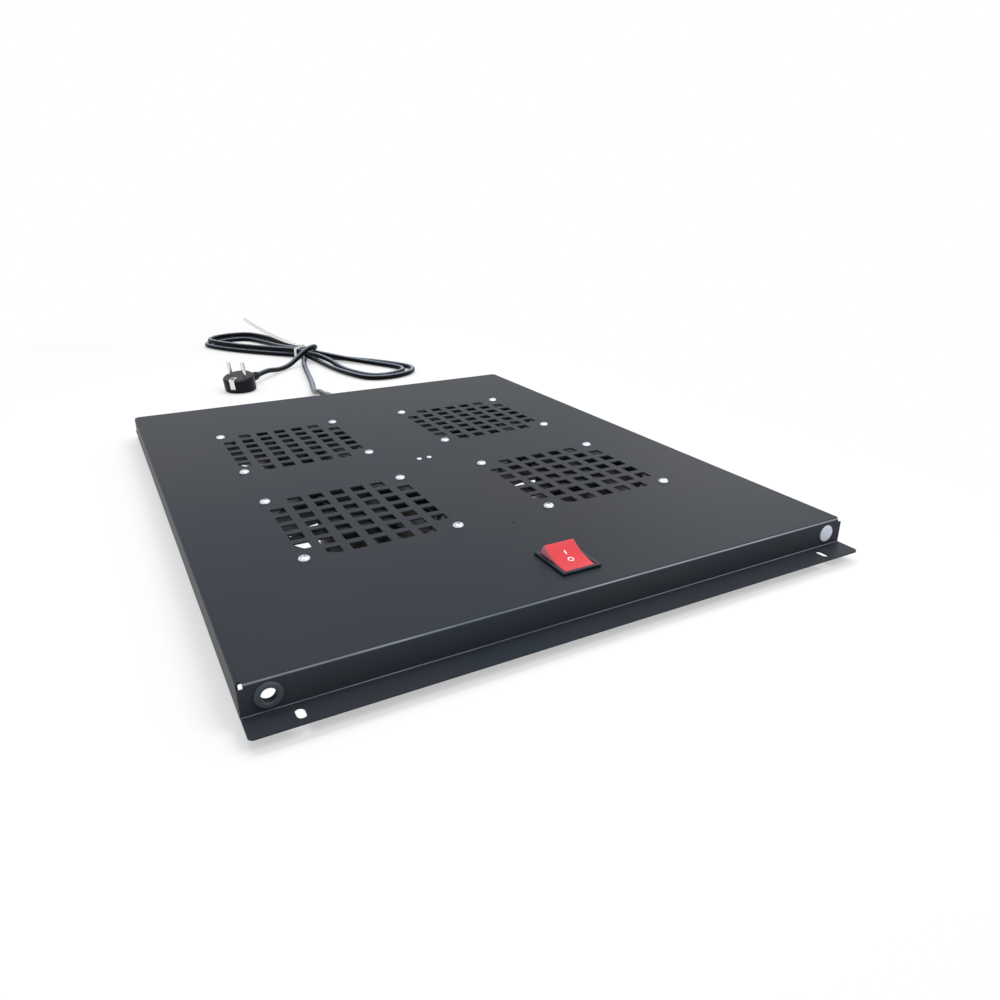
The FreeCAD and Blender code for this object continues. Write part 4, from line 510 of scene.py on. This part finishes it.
marks_mesh = bmesh.new()
add_mark(marks_mesh, circle_points(RING_OUTER, RING_MIDDLE), circle_points(RING_INNER, RING_MIDDLE))
bar_side = [BAR_START + BAR_LENGTH * step / BAR_STEPS for step in range(BAR_STEPS + 1)]
bar = [(BAR_HALF, y) for y in bar_side] + [(-BAR_HALF, y) for y in bar_side[::-1]]
add_mark(marks_mesh, bar, None)
bmesh.ops.recalc_face_normals(marks_mesh, faces=marks_mesh.faces)
marks_data = bpy.data.meshes.new("switch_marks")
marks_mesh.to_mesh(marks_data)
marks_mesh.free()
marks = link("switch_marks", marks_data)
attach(marks, "rocker")
print("marks faces", len(marks_data.polygons))

# %% [markdown]
# ## Shared effects
# Most finishes here need the same few effects: a fine uneven surface, slow changes of tone, specks
# of dust, and a painted highlight, a pale colour on whatever faces up. Each is a node group with
# named inputs, built once.
# A group gives out only values and normals, and the shader itself stays in the material, where the
# export can read it.


# %% Node groups and nodes
def new_group(name, inputs, outputs):
    """A shader node group from (socket, kind, default) inputs and (socket, kind) outputs."""
    group = bpy.data.node_groups.new(name, "ShaderNodeTree")
    for socket, kind, default in inputs:
        made = group.interface.new_socket(socket, in_out="INPUT", socket_type=kind)
        made.default_value = default
    for socket, kind in outputs:
        group.interface.new_socket(socket, in_out="OUTPUT", socket_type=kind)
    return group, group.nodes.new("NodeGroupInput"), group.nodes.new("NodeGroupOutput")


def add(tree, kind, **settings):
    """A node with its settings; keys that name a socket set that socket."""
    node = tree.nodes.new(kind)
    for key, value in settings.items():
        label = key.replace("_", " ")
        if label in node.inputs:
            node.inputs[label].default_value = value
        else:
            setattr(node, key, value)
    return node


# %% Sums and mixed colours as nodes
def maths(tree, operation, *terms):
    """A Math node fed by sockets or numbers; gives its result socket."""
    node = tree.nodes.new("ShaderNodeMath")
    node.operation = operation
    for socket, term in zip(node.inputs, terms):
        if isinstance(term, (int, float)):
            socket.default_value = term
        else:
            tree.links.new(term, socket)
    return node.outputs[0]


def blend_colours(tree, factor, first, second):
    """Mix two colours by a factor socket and give the result socket."""
    mix = tree.nodes.new("ShaderNodeMix")
    mix.data_type = "RGBA"
    colours = [socket for socket in mix.inputs if socket.type == "RGBA"]
    tree.links.new(factor, mix.inputs[0])
    for socket, colour in zip(colours, (first, second)):
        if isinstance(colour, tuple):
            socket.default_value = (*colour, 1)
        else:
            tree.links.new(colour, socket)
    return next(socket for socket in mix.outputs if socket.type == "RGBA")


# %% Fine grain: small bumps and a matching mask
grain, grain_in, grain_out = new_group(
    "fine grain", [("Size", "NodeSocketFloat", 1200.0), ("Strength", "NodeSocketFloat", 0.1)],
    [("Normal", "NodeSocketVector"), ("Mask", "NodeSocketFloat")])
place = grain.nodes.new("ShaderNodeTexCoord")
speckle = add(grain, "ShaderNodeTexNoise", Detail=3.0, Roughness=0.6)
bump = add(grain, "ShaderNodeBump", Distance=0.0002)
grain.links.new(place.outputs["Object"], speckle.inputs["Vector"])
grain.links.new(grain_in.outputs["Size"], speckle.inputs["Scale"])
grain.links.new(speckle.outputs["Fac"], bump.inputs["Height"])
grain.links.new(grain_in.outputs["Strength"], bump.inputs["Strength"])
grain.links.new(bump.outputs["Normal"], grain_out.inputs["Normal"])
grain.links.new(speckle.outputs["Fac"], grain_out.inputs["Mask"])
print("group", grain.name)

# %% Soft clouds: slow changes of tone over a surface
clouds, clouds_in, clouds_out = new_group(
    "soft clouds", [("Size", "NodeSocketFloat", 8.0), ("Low", "NodeSocketFloat", 0.35),
                    ("High", "NodeSocketFloat", 0.65)], [("Mask", "NodeSocketFloat")])
place = clouds.nodes.new("ShaderNodeTexCoord")
cloud = add(clouds, "ShaderNodeTexNoise", Detail=5.0, Roughness=0.55)
spread = add(clouds, "ShaderNodeMapRange", To_Min=0.0, To_Max=1.0)
clouds.links.new(place.outputs["Object"], cloud.inputs["Vector"])
clouds.links.new(clouds_in.outputs["Size"], cloud.inputs["Scale"])
clouds.links.new(cloud.outputs["Fac"], spread.inputs["Value"])
clouds.links.new(clouds_in.outputs["Low"], spread.inputs["From Min"])
clouds.links.new(clouds_in.outputs["High"], spread.inputs["From Max"])
clouds.links.new(spread.outputs["Result"], clouds_out.inputs["Mask"])
print("group", clouds.name)

# %% Dust: sparse pale specks that gather where the clouds are thick
dust, dust_in, dust_out = new_group(
    "dust", [("Size", "NodeSocketFloat", 900.0), ("Amount", "NodeSocketFloat", 0.2)],
    [("Mask", "NodeSocketFloat")])
place = dust.nodes.new("ShaderNodeTexCoord")
specks = add(dust, "ShaderNodeTexNoise", Detail=2.0, Roughness=0.5)
drift = add(dust, "ShaderNodeTexNoise", Scale=14.0, Detail=4.0, Roughness=0.6)
sharp = add(dust, "ShaderNodeMapRange", From_Min=0.62, From_Max=0.72, To_Min=0.0, To_Max=1.0)
dust.links.new(place.outputs["Object"], specks.inputs["Vector"])
dust.links.new(place.outputs["Object"], drift.inputs["Vector"])
dust.links.new(dust_in.outputs["Size"], specks.inputs["Scale"])
dust.links.new(specks.outputs["Fac"], sharp.inputs["Value"])
gathered = maths(dust, "MULTIPLY", sharp.outputs["Result"], drift.outputs["Fac"])
lying = maths(dust, "MULTIPLY", gathered, dust_in.outputs["Amount"])
dust.links.new(lying, dust_out.inputs["Mask"])
print("group", dust.name)

# %% Painted top highlight: a pale colour, standing in for light, on whatever faces up
top_highlight, top_highlight_in, top_highlight_out = new_group(
    "painted top highlight", [("Start", "NodeSocketFloat", 0.5), ("Full", "NodeSocketFloat", 0.95),
                     ("Amount", "NodeSocketFloat", 0.5)], [("Mask", "NodeSocketFloat")])
turned = top_highlight.nodes.new("ShaderNodeNewGeometry")
turned_parts = top_highlight.nodes.new("ShaderNodeSeparateXYZ")
patches = add(top_highlight, "ShaderNodeTexNoise", Scale=160.0, Detail=3.0, Roughness=0.6)
place = top_highlight.nodes.new("ShaderNodeTexCoord")
facing_up = add(top_highlight, "ShaderNodeMapRange", To_Min=0.0, To_Max=1.0)
top_highlight.links.new(turned.outputs["Normal"], turned_parts.inputs[0])
top_highlight.links.new(place.outputs["Object"], patches.inputs["Vector"])
top_highlight.links.new(turned_parts.outputs["Z"], facing_up.inputs["Value"])
top_highlight.links.new(top_highlight_in.outputs["Start"], facing_up.inputs["From Min"])
top_highlight.links.new(top_highlight_in.outputs["Full"], facing_up.inputs["From Max"])
highlight_strength = maths(top_highlight, "ADD", patches.outputs["Fac"], 0.4)
patchy_highlight = maths(top_highlight, "MULTIPLY", facing_up.outputs["Result"], highlight_strength)
highlight_share = maths(top_highlight, "MULTIPLY", patchy_highlight, top_highlight_in.outputs["Amount"])
top_highlight.links.new(highlight_share, top_highlight_out.inputs["Mask"])
print("group", top_highlight.name)


# %% Lay the painted highlight over a finish
def lay_top_highlight(material, start, full, amount, colour):
    """Blend a painted highlight, a pale colour, over a finish where the surface faces up."""
    tree = material.node_tree
    base = tree.nodes["Principled BSDF"].inputs["Base Color"]
    layer = add(tree, "ShaderNodeGroup", node_tree=top_highlight)
    for socket, value in (("Start", start), ("Full", full), ("Amount", amount)):
        layer.inputs[socket].default_value = value
    below = base.links[0].from_socket
    tree.links.new(blend_colours(tree, layer.outputs["Mask"], below, colour), base)


# %% Build a material from two tones, a grain, clouds and dust
DUST_TONE = (0.35, 0.34, 0.32)


def finish(name, tone, other_tone, roughness=(0.4, 0.5), metallic=0.0, specular=0.5,
           grain_size=1500.0, grain_strength=0.1, cloud_size=12.0, dusty=0.0):
    """Two close tones that drift over the surface, and a fine grain that moves the normal."""
    material = bpy.data.materials.new(name)
    material.use_nodes = True
    tree = material.node_tree
    shader = tree.nodes["Principled BSDF"]
    shader.inputs["Metallic"].default_value = metallic
    shader.inputs["Specular IOR Level"].default_value = specular
    surface = add(tree, "ShaderNodeGroup", node_tree=grain)
    surface.inputs["Size"].default_value = grain_size
    surface.inputs["Strength"].default_value = grain_strength
    drift = add(tree, "ShaderNodeGroup", node_tree=clouds)
    drift.inputs["Size"].default_value = cloud_size
    colour = blend_colours(tree, drift.outputs["Mask"], tone, other_tone)
    if dusty:
        specks = add(tree, "ShaderNodeGroup", node_tree=dust)
        specks.inputs["Amount"].default_value = dusty
        colour = blend_colours(tree, specks.outputs["Mask"], colour, DUST_TONE)
    tree.links.new(colour, shader.inputs["Base Color"])
    gloss = add(tree, "ShaderNodeMapRange", To_Min=roughness[0], To_Max=roughness[1])
    tree.links.new(surface.outputs["Mask"], gloss.inputs["Value"])
    tree.links.new(gloss.outputs["Result"], shader.inputs["Roughness"])
    tree.links.new(surface.outputs["Normal"], shader.inputs["Normal"])
    return material


# %% Give a material to pieces by name
def dress(material, *nodes):
    """Give a material to carried-over nodes, by name."""
    for name in nodes:
        piece = frame["nodes"][name]
        piece.data.materials.clear()
        piece.data.materials.append(material)
        for polygon in piece.data.polygons:
            polygon.material_index = 0
    print(material.name, "on", len(nodes), "nodes")


def for_fans(*stems):
    """The names of a piece in all four fans."""
    return [f"{stem}_{corner}" for stem in stems for corner in CORNERS]


# %% [markdown]
# ## The plate's paint
# The plate is powder coated: half matt, with a fine orange-peel surface and a little blue in its
# grey. The long front and rear bends carry a painted highlight: their colour turns paler there, to
# stand in for light catching the bends. On them the surface faces partly up and partly forward or
# back, so the smaller of the Z and Y parts of its normal is large there and small on every flat
# face.

# %% Paint the plate
BEND_STARTS, BEND_FULL = 0.42, 0.66
BEND_HIGHLIGHT_CLOUD_SIZE, BEND_HIGHLIGHT_MORE, BEND_HIGHLIGHT_LEAST = 9.0, 0.6, 0.4
BEND_HIGHLIGHT_TONE = (0.33, 0.38, 0.46)

paint = finish("tray_powder_coat", (0.029, 0.036, 0.046), (0.035, 0.038, 0.045),
               roughness=(0.36, 0.46), specular=0.05, grain_size=1400.0, grain_strength=0.06,
               cloud_size=4.0)
tree = paint.node_tree
shader = tree.nodes["Principled BSDF"]
facing = tree.nodes.new("ShaderNodeNewGeometry")
normal_parts = tree.nodes.new("ShaderNodeSeparateXYZ")
tree.links.new(facing.outputs["Normal"], normal_parts.inputs[0])
level = maths(tree, "ABSOLUTE", normal_parts.outputs["Z"])
upright = maths(tree, "ABSOLUTE", normal_parts.outputs["Y"])
on_bend = add(tree, "ShaderNodeMapRange", From_Min=BEND_STARTS, From_Max=BEND_FULL,
              To_Min=0.0, To_Max=1.0)
tree.links.new(maths(tree, "MINIMUM", level, upright), on_bend.inputs["Value"])
# Painted highlight: the bends' base colour is blended toward a pale blue-grey, unevenly by slow
# clouds.
bend_highlight_clouds = add(tree, "ShaderNodeGroup", node_tree=clouds)
bend_highlight_clouds.inputs["Size"].default_value = BEND_HIGHLIGHT_CLOUD_SIZE
uneven = maths(tree, "MULTIPLY_ADD", bend_highlight_clouds.outputs["Mask"], BEND_HIGHLIGHT_MORE, BEND_HIGHLIGHT_LEAST)
painted_bend_highlight = maths(tree, "MULTIPLY", on_bend.outputs["Result"], uneven)
base = shader.inputs["Base Color"]
tree.links.new(blend_colours(tree, painted_bend_highlight, base.links[0].from_socket, BEND_HIGHLIGHT_TONE), base)
dress(paint, "tray_panel")

# %% [markdown]
# ## Fans
# The frames and rotors are black moulded plastic; the rotors are a little lighter and greyer, from
# glass fibre in the plastic. Inside are the stator's steel stack, copper windings and the bearings.

# %% Dress the fans
fan_moulding = finish("fan_moulding", (0.009, 0.009, 0.01), (0.014, 0.014, 0.016),
                      roughness=(0.45, 0.6), specular=0.25)
dress(fan_moulding, *for_fans("fan_frame"))
blade_moulding = finish("blade_moulding", (0.03, 0.027, 0.025), (0.055, 0.048, 0.042),
                        roughness=(0.4, 0.55), specular=0.3, dusty=0.2)
dress(blade_moulding, *for_fans("fan_rotor"))
steel = finish("zinc_plating", (0.56, 0.6, 0.68), (0.7, 0.73, 0.79), roughness=(0.16, 0.28),
               metallic=1.0, grain_size=3000.0, grain_strength=0.05, cloud_size=60.0)
dress(steel, "fan_nuts", "block_nuts", "clamp_screws", "earth_stud", "earth_nut",
      *for_fans("fan_bearings", "fan_shaft"))
for row in (fan_screws, block_screws):
    row.data.materials.append(steel)
dark_steel = finish("core_steel", (0.2, 0.2, 0.21), (0.3, 0.3, 0.3), roughness=(0.35, 0.5),
                    metallic=1.0)
dress(dark_steel, *for_fans("stator_core", "rotor_cage"))
copper = finish("enamelled_copper", (0.5, 0.2, 0.08), (0.62, 0.28, 0.12),
                roughness=(0.25, 0.4), metallic=0.9)
dress(copper, *for_fans("stator_coils"))

# %% [markdown]
# ## The switch
# The housing is glossy black and the rocker is a tinted red over a lamp. Its sides are painted
# paler than its face, and both are painted paler towards the end that stands high at rest: a
# painted highlight that stands in for light catching the rocker. The sides face left and right
# whatever the rocker's tilt, so the X part of the surface normal picks them out, and the height at
# rest gives the fade.

# %% Dress the housing
black_gloss = finish("switch_black", (0.004, 0.009, 0.016), (0.006, 0.012, 0.021),
                     roughness=(0.25, 0.35), specular=0.25)
dress(black_gloss, "switch_housing")

# %% Dress the rocker
ROCKER_FOOT, ROCKER_CREST = 0.0262, 0.0385
SIDEWAYS, FACE_HIGHLIGHT_SHARE = 0.8, 0.5
FACE_HIGHLIGHT, SIDE_SHEEN_TONE, SIDE_HIGHLIGHT = (0.74, 0.1, 0.12), (0.85, 0.2, 0.24), (0.8, 0.5, 0.56)

rocker_red = finish("rocker_red", (0.68, 0.022, 0.035), (0.74, 0.03, 0.045),
                    roughness=(0.3, 0.4), specular=0.3)
tree = rocker_red.node_tree
shader = tree.nodes["Principled BSDF"]
facing = tree.nodes.new("ShaderNodeNewGeometry")
across = tree.nodes.new("ShaderNodeSeparateXYZ")
tree.links.new(facing.outputs["True Normal"], across.inputs[0])
side_mask = maths(tree, "GREATER_THAN", maths(tree, "ABSOLUTE", across.outputs["X"]), SIDEWAYS)
base = shader.inputs["Base Color"]
face_colour = base.links[0].from_socket
where = tree.nodes.new("ShaderNodeTexCoord")
where_parts = tree.nodes.new("ShaderNodeSeparateXYZ")
tree.links.new(where.outputs["Object"], where_parts.inputs[0])
fade = add(tree, "ShaderNodeMapRange", From_Min=ROCKER_FOOT, From_Max=ROCKER_CREST,
           To_Min=0.0, To_Max=1.0)
tree.links.new(where_parts.outputs["Z"], fade.inputs["Value"])
# Painted highlight: the face pales part way and the sides pale fully towards the high end.
face_highlight_share = maths(tree, "MULTIPLY", fade.outputs["Result"], FACE_HIGHLIGHT_SHARE)
face_with_highlight = blend_colours(tree, face_highlight_share, face_colour, FACE_HIGHLIGHT)
side_with_highlight = blend_colours(tree, fade.outputs["Result"], SIDE_SHEEN_TONE, SIDE_HIGHLIGHT)
tree.links.new(blend_colours(tree, side_mask, face_with_highlight, side_with_highlight), base)
dress(rocker_red, "switch_rocker")

# %% Dress the marks and the terminals
print_white = finish("print_white", (0.8, 0.8, 0.78), (0.86, 0.86, 0.84), roughness=(0.4, 0.5))
marks_data.materials.append(print_white)
brass = finish("tinned_brass", (0.62, 0.55, 0.38), (0.7, 0.62, 0.45), roughness=(0.2, 0.35),
               metallic=1.0)
dress(brass, "switch_terminals", "terminal_clamps", "earth_terminal")

# %% [markdown]
# ## Rubber, cords and wires
# The cord's sheath is smooth black PVC, and its crown carries a painted highlight, a pale colour
# that stands in for light catching it. The three cores inside the tray follow the usual mains
# colours: blue for neutral, brown for live, and green with yellow for earth. They are one solid
# node, so each connected part of its mesh gets its own material by where it lies.

# %% Dress the rubber, the hole plug and the terminal block
rubber = finish("grommet_rubber", (0.036, 0.046, 0.06), (0.05, 0.06, 0.075),
                roughness=(0.5, 0.65), specular=0.25)
dress(rubber, "cable_grommet")
plug_grey = finish("plug_grey", (0.6, 0.65, 0.75), (0.66, 0.7, 0.8), roughness=(0.35, 0.5))
dress(plug_grey, "hole_plug")
block_white = finish("block_white", (0.72, 0.71, 0.66), (0.78, 0.77, 0.72), roughness=(0.4, 0.5))
dress(block_white, "terminal_block")

# %% Dress the cord, its plug and the tie
cord_black = finish("cord_black", (0.002, 0.002, 0.003), (0.004, 0.004, 0.006),
                    roughness=(0.2, 0.28), specular=0.06, grain_strength=0.04)
# Painted highlight: a pale blue-grey line along the cord's upper side, standing in for light on it.
lay_top_highlight(cord_black, start=0.62, full=1.0, amount=0.9, colour=(0.3, 0.34, 0.43))
cord.data.materials.append(cord_black)
dress(cord_black, "mains_sheath", "cord_bush", *for_fans("fan_lead"))
plug_black = finish("plug_black", (0.003, 0.0035, 0.005), (0.006, 0.007, 0.01),
                    roughness=(0.24, 0.34), specular=0.12, grain_strength=0.06)
# Painted highlight: a faint pale blue-grey on the plug's upward faces, standing in for its sheen.
lay_top_highlight(plug_black, start=0.3, full=1.0, amount=0.14, colour=(0.16, 0.19, 0.27))
dress(plug_black, "mains_plug_body")
nickel = finish("nickel_plating", (0.75, 0.73, 0.7), (0.82, 0.8, 0.77), roughness=(0.12, 0.22),
                metallic=1.0)
dress(nickel, "mains_plug_pins", "plug_earth_clips")
nylon = finish("tie_nylon", (0.74, 0.74, 0.71), (0.82, 0.82, 0.79), roughness=(0.3, 0.45))
tie_data.materials.append(nylon)

# %% Mix the cores' colours
EARTH_MIDDLE = 0.0228
EARTH_YELLOW = (0.8, 0.66, 0.04)
CORE_GLOSS = (0.35, 0.45)

core_brown = finish("core_brown", (0.16, 0.065, 0.03), (0.19, 0.08, 0.035), roughness=CORE_GLOSS)
core_blue = finish("core_blue", (0.03, 0.14, 0.42), (0.04, 0.17, 0.48), roughness=CORE_GLOSS)
core_earth = finish("core_green_yellow", (0.06, 0.3, 0.05), (0.08, 0.34, 0.06),
                    roughness=CORE_GLOSS)
tree = core_earth.node_tree
shader = tree.nodes["Principled BSDF"]
place = tree.nodes.new("ShaderNodeTexCoord")
height = tree.nodes.new("ShaderNodeSeparateXYZ")
tree.links.new(place.outputs["Object"], height.inputs[0])
upper_half = maths(tree, "GREATER_THAN", height.outputs["Z"], EARTH_MIDDLE)
base = shader.inputs["Base Color"]
green = base.links[0].from_socket
tree.links.new(blend_colours(tree, upper_half, EARTH_YELLOW, green), base)
print("earth is green above", EARTH_MIDDLE, "m")


# %% Find the separate parts of a mesh
def connected_parts(data):
    """Lists of polygons that share vertices, one list for each separate part of a mesh."""
    mesh = bmesh.new()
    mesh.from_mesh(data)
    bmesh.ops.remove_doubles(mesh, verts=mesh.verts, dist=1e-7)
    mesh.faces.ensure_lookup_table()
    waiting, parts = set(range(len(mesh.faces))), []
    while waiting:
        part, front = [], [waiting.pop()]
        while front:
            index = front.pop()
            part.append(index)
            edges = mesh.faces[index].edges
            near = {face.index for edge in edges for face in edge.link_faces} & waiting
            waiting -= near
            front += near
        parts.append(part)
    mesh.free()
    return parts


# %% Colour each core by where it lies
FRONT_OF_FANS, RIGHT_OF_MIDDLE = -0.1, -0.0005

cores = frame["nodes"]["mains_cores"]
dress(core_brown, "mains_cores", "switch_wire")
for colour in (core_blue, core_earth):
    cores.data.materials.append(colour)
parts = connected_parts(cores.data)
for part in parts:
    middles = [cores.data.polygons[index].center for index in part]
    left = min(middle.x for middle in middles)
    front = min(middle.y for middle in middles)
    colour = 0 if front < FRONT_OF_FANS else 2 if left > RIGHT_OF_MIDDLE else 1
    for index in part:
        cores.data.polygons[index].material_index = colour
print("cores", len(parts))

# %% [markdown]
# ## Studio
# The floor is white and takes only the object's shadow. A white room is made with Light Path: the
# camera, mirrors and glass see plain white, while the light on the object stays soft and low. The
# floor does the same, but only away from the object: beside it, its own shaded colour shows, with
# the shadow. Right under the tray it is lit through, as on a light table, so that the openings
# read. Seen from below the floor is clear, so that the fans can be looked at from underneath.


# %% Plain white where it is seen, and the world
WORLD_STRENGTH = 0.55


def white_where_seen(tree, output, lit_shader, share=None):
    """Plain white to camera, glossy and transmission rays, and the lit shader to all others."""
    path = tree.nodes.new("ShaderNodeLightPath")
    seen = maths(tree, "MAXIMUM", path.outputs["Is Camera Ray"], path.outputs["Is Glossy Ray"])
    seen = maths(tree, "MAXIMUM", seen, path.outputs["Is Transmission Ray"])
    if share is not None:
        seen = maths(tree, "MULTIPLY", seen, share)
    kind = "ShaderNodeBackground" if tree == world.node_tree else "ShaderNodeEmission"
    white = add(tree, kind, Color=(1, 1, 1, 1), Strength=1.0)
    mix = tree.nodes.new("ShaderNodeMixShader")
    tree.links.new(seen, mix.inputs["Fac"])
    tree.links.new(lit_shader, mix.inputs[1])
    tree.links.new(white.outputs[0], mix.inputs[2])
    tree.links.new(mix.outputs[0], output)


world = bpy.data.worlds.new("studio")
bpy.context.scene.world = world
world.use_nodes = True
world_tree = world.node_tree
world_light = world_tree.nodes["Background"]
world_light.inputs["Color"].default_value = (0.96, 0.98, 1, 1)
world_light.inputs["Strength"].default_value = WORLD_STRENGTH
world_surface = world_tree.nodes["World Output"].inputs["Surface"]
white_where_seen(world_tree, world_surface, world_light.outputs[0])
print("world", world.name, "strength", WORLD_STRENGTH)

# %% Lay the floor
FLOOR_REACH, FLOOR_DROP = 12.0, 0.0004

floor_mesh = bpy.data.meshes.new("floor")
corners = [(x * FLOOR_REACH, y * FLOOR_REACH, 0) for x, y in ((-1, -1), (1, -1), (1, 1), (-1, 1))]
floor_mesh.from_pydata(corners, [], [(0, 1, 2, 3)])
floor = link("floor", floor_mesh)
floor.location.z = -FLOOR_DROP
floor_paint = bpy.data.materials.new("floor_white")
floor_paint.use_nodes = True
floor_tree = floor_paint.node_tree
floor_shader = floor_tree.nodes["Principled BSDF"]
floor_shader.inputs["Base Color"].default_value = (0.95, 0.95, 0.95, 1)
floor_shader.inputs["Roughness"].default_value = 0.9
floor_shader.inputs["Specular IOR Level"].default_value = 0.0
floor_mesh.materials.append(floor_paint)
print("floor", 2 * FLOOR_REACH, "m wide")

# %% Distances and ramps on the floor
place = floor_tree.nodes.new("ShaderNodeTexCoord")
split = floor_tree.nodes.new("ShaderNodeSeparateXYZ")
floor_tree.links.new(place.outputs["Object"], split.inputs[0])


def outside(half_width, low, high):
    """Distance out of a rectangle on the floor, low and high along Y; it is negative inside."""
    middle, half_depth = (low + high) / 2, (high - low) / 2
    across = maths(floor_tree, "ABSOLUTE", split.outputs["X"])
    past_side = maths(floor_tree, "SUBTRACT", across, half_width)
    along = maths(floor_tree, "SUBTRACT", split.outputs["Y"], middle)
    past_end = maths(floor_tree, "SUBTRACT", maths(floor_tree, "ABSOLUTE", along), half_depth)
    return maths(floor_tree, "MAXIMUM", past_side, past_end)


def ramp(distance, start, end, first, last):
    """A smooth change from first to last while the distance goes from start to end."""
    node = add(floor_tree, "ShaderNodeMapRange", From_Min=start, From_Max=end, To_Min=first,
               To_Max=last, interpolation_type="SMOOTHSTEP")
    floor_tree.links.new(distance, node.inputs["Value"])
    return node.outputs["Result"]


# %% Where the floor shows plain white
TRAY_SIDE, TRAY_END, FAR = 0.204, 0.272, 9.0
ROUND_SIDE, ROUND_FRONT, ROUND_BACK = 0.21, -0.28, 0.8
FADE_REACH, NEAR_SHARE = 0.22, 0.45

# Under the tray it is white, and fades 2 to 6 mm inside the sides and 6 to 16 mm inside the ends.
between_sides = ramp(outside(TRAY_SIDE, -FAR, FAR), -0.006, -0.002, 1.0, 0.0)
between_flanges = ramp(outside(FAR, -TRAY_END, TRAY_END), -0.016, -0.006, 1.0, 0.0)
under_tray = maths(floor_tree, "MULTIPLY", between_sides, between_flanges)
# Round the tray and the hank it turns white over the next 22 centimetres.
away = ramp(outside(ROUND_SIDE, ROUND_FRONT, ROUND_BACK), 0.0, FADE_REACH, NEAR_SHARE, 1.0)
white_share = maths(floor_tree, "MAXIMUM", under_tray, away)
print("white under", 2 * TRAY_SIDE, "by", 2 * TRAY_END, "m")

# %% A floor that is clear from below
one_way = floor_tree.nodes.new("ShaderNodeMixShader")
underside = floor_tree.nodes.new("ShaderNodeNewGeometry")
clear = floor_tree.nodes.new("ShaderNodeBsdfTransparent")
floor_tree.links.new(underside.outputs["Backfacing"], one_way.inputs["Fac"])
floor_tree.links.new(clear.outputs[0], one_way.inputs[2])
floor_tree.links.new(one_way.outputs[0], floor_tree.nodes["Material Output"].inputs["Surface"])
white_where_seen(floor_tree, one_way.inputs[1], floor_shader.outputs[0], white_share)
print("floor material", floor_paint.name, "nodes", len(floor_tree.nodes))

# %% [markdown]
# ## Lamps
# A wide lamp gives soft light and a small one gives crisp glints. Here a key lamp stands in front
# on the right and a top lamp hangs over the back. A small one above picks out the screws and adds
# to the painted highlight on the crown of the cord, and a lower one at the side grazes the right
# side wall. Their power is kept low enough that a colour renders about as it is written.


# %% Hang the lamps
def soft_lamp(name, place, aim, size, power):
    """A round area lamp at place, aimed at a point; metres and watts."""
    data = bpy.data.lights.new(name, "AREA")
    data.shape = "DISK"
    data.size = size
    data.energy = power
    lamp = link(name, data)
    lamp.location = place
    lamp.rotation_euler = (Vector(aim) - Vector(place)).to_track_quat("-Z", "Y").to_euler()
    print(name, power, "W")


soft_lamp("key_lamp", (0.8, -1.1, 1.8), (0, 0, 0), 1.2, 17)
soft_lamp("top_lamp", (0.3, 0.6, 2.2), (0, 0.1, 0), 1.6, 12)
soft_lamp("glint_lamp", (-0.5, 0.2, 2.0), (0, 0.3, 0), 0.3, 6)
soft_lamp("side_lamp", (1.5, 1.05, 0.93), (0.15, -0.1, 0), 0.8, 2.2)
bpy.context.scene.view_settings.view_transform = "Standard"

# %% Update the scene
bpy.context.view_layer.update()
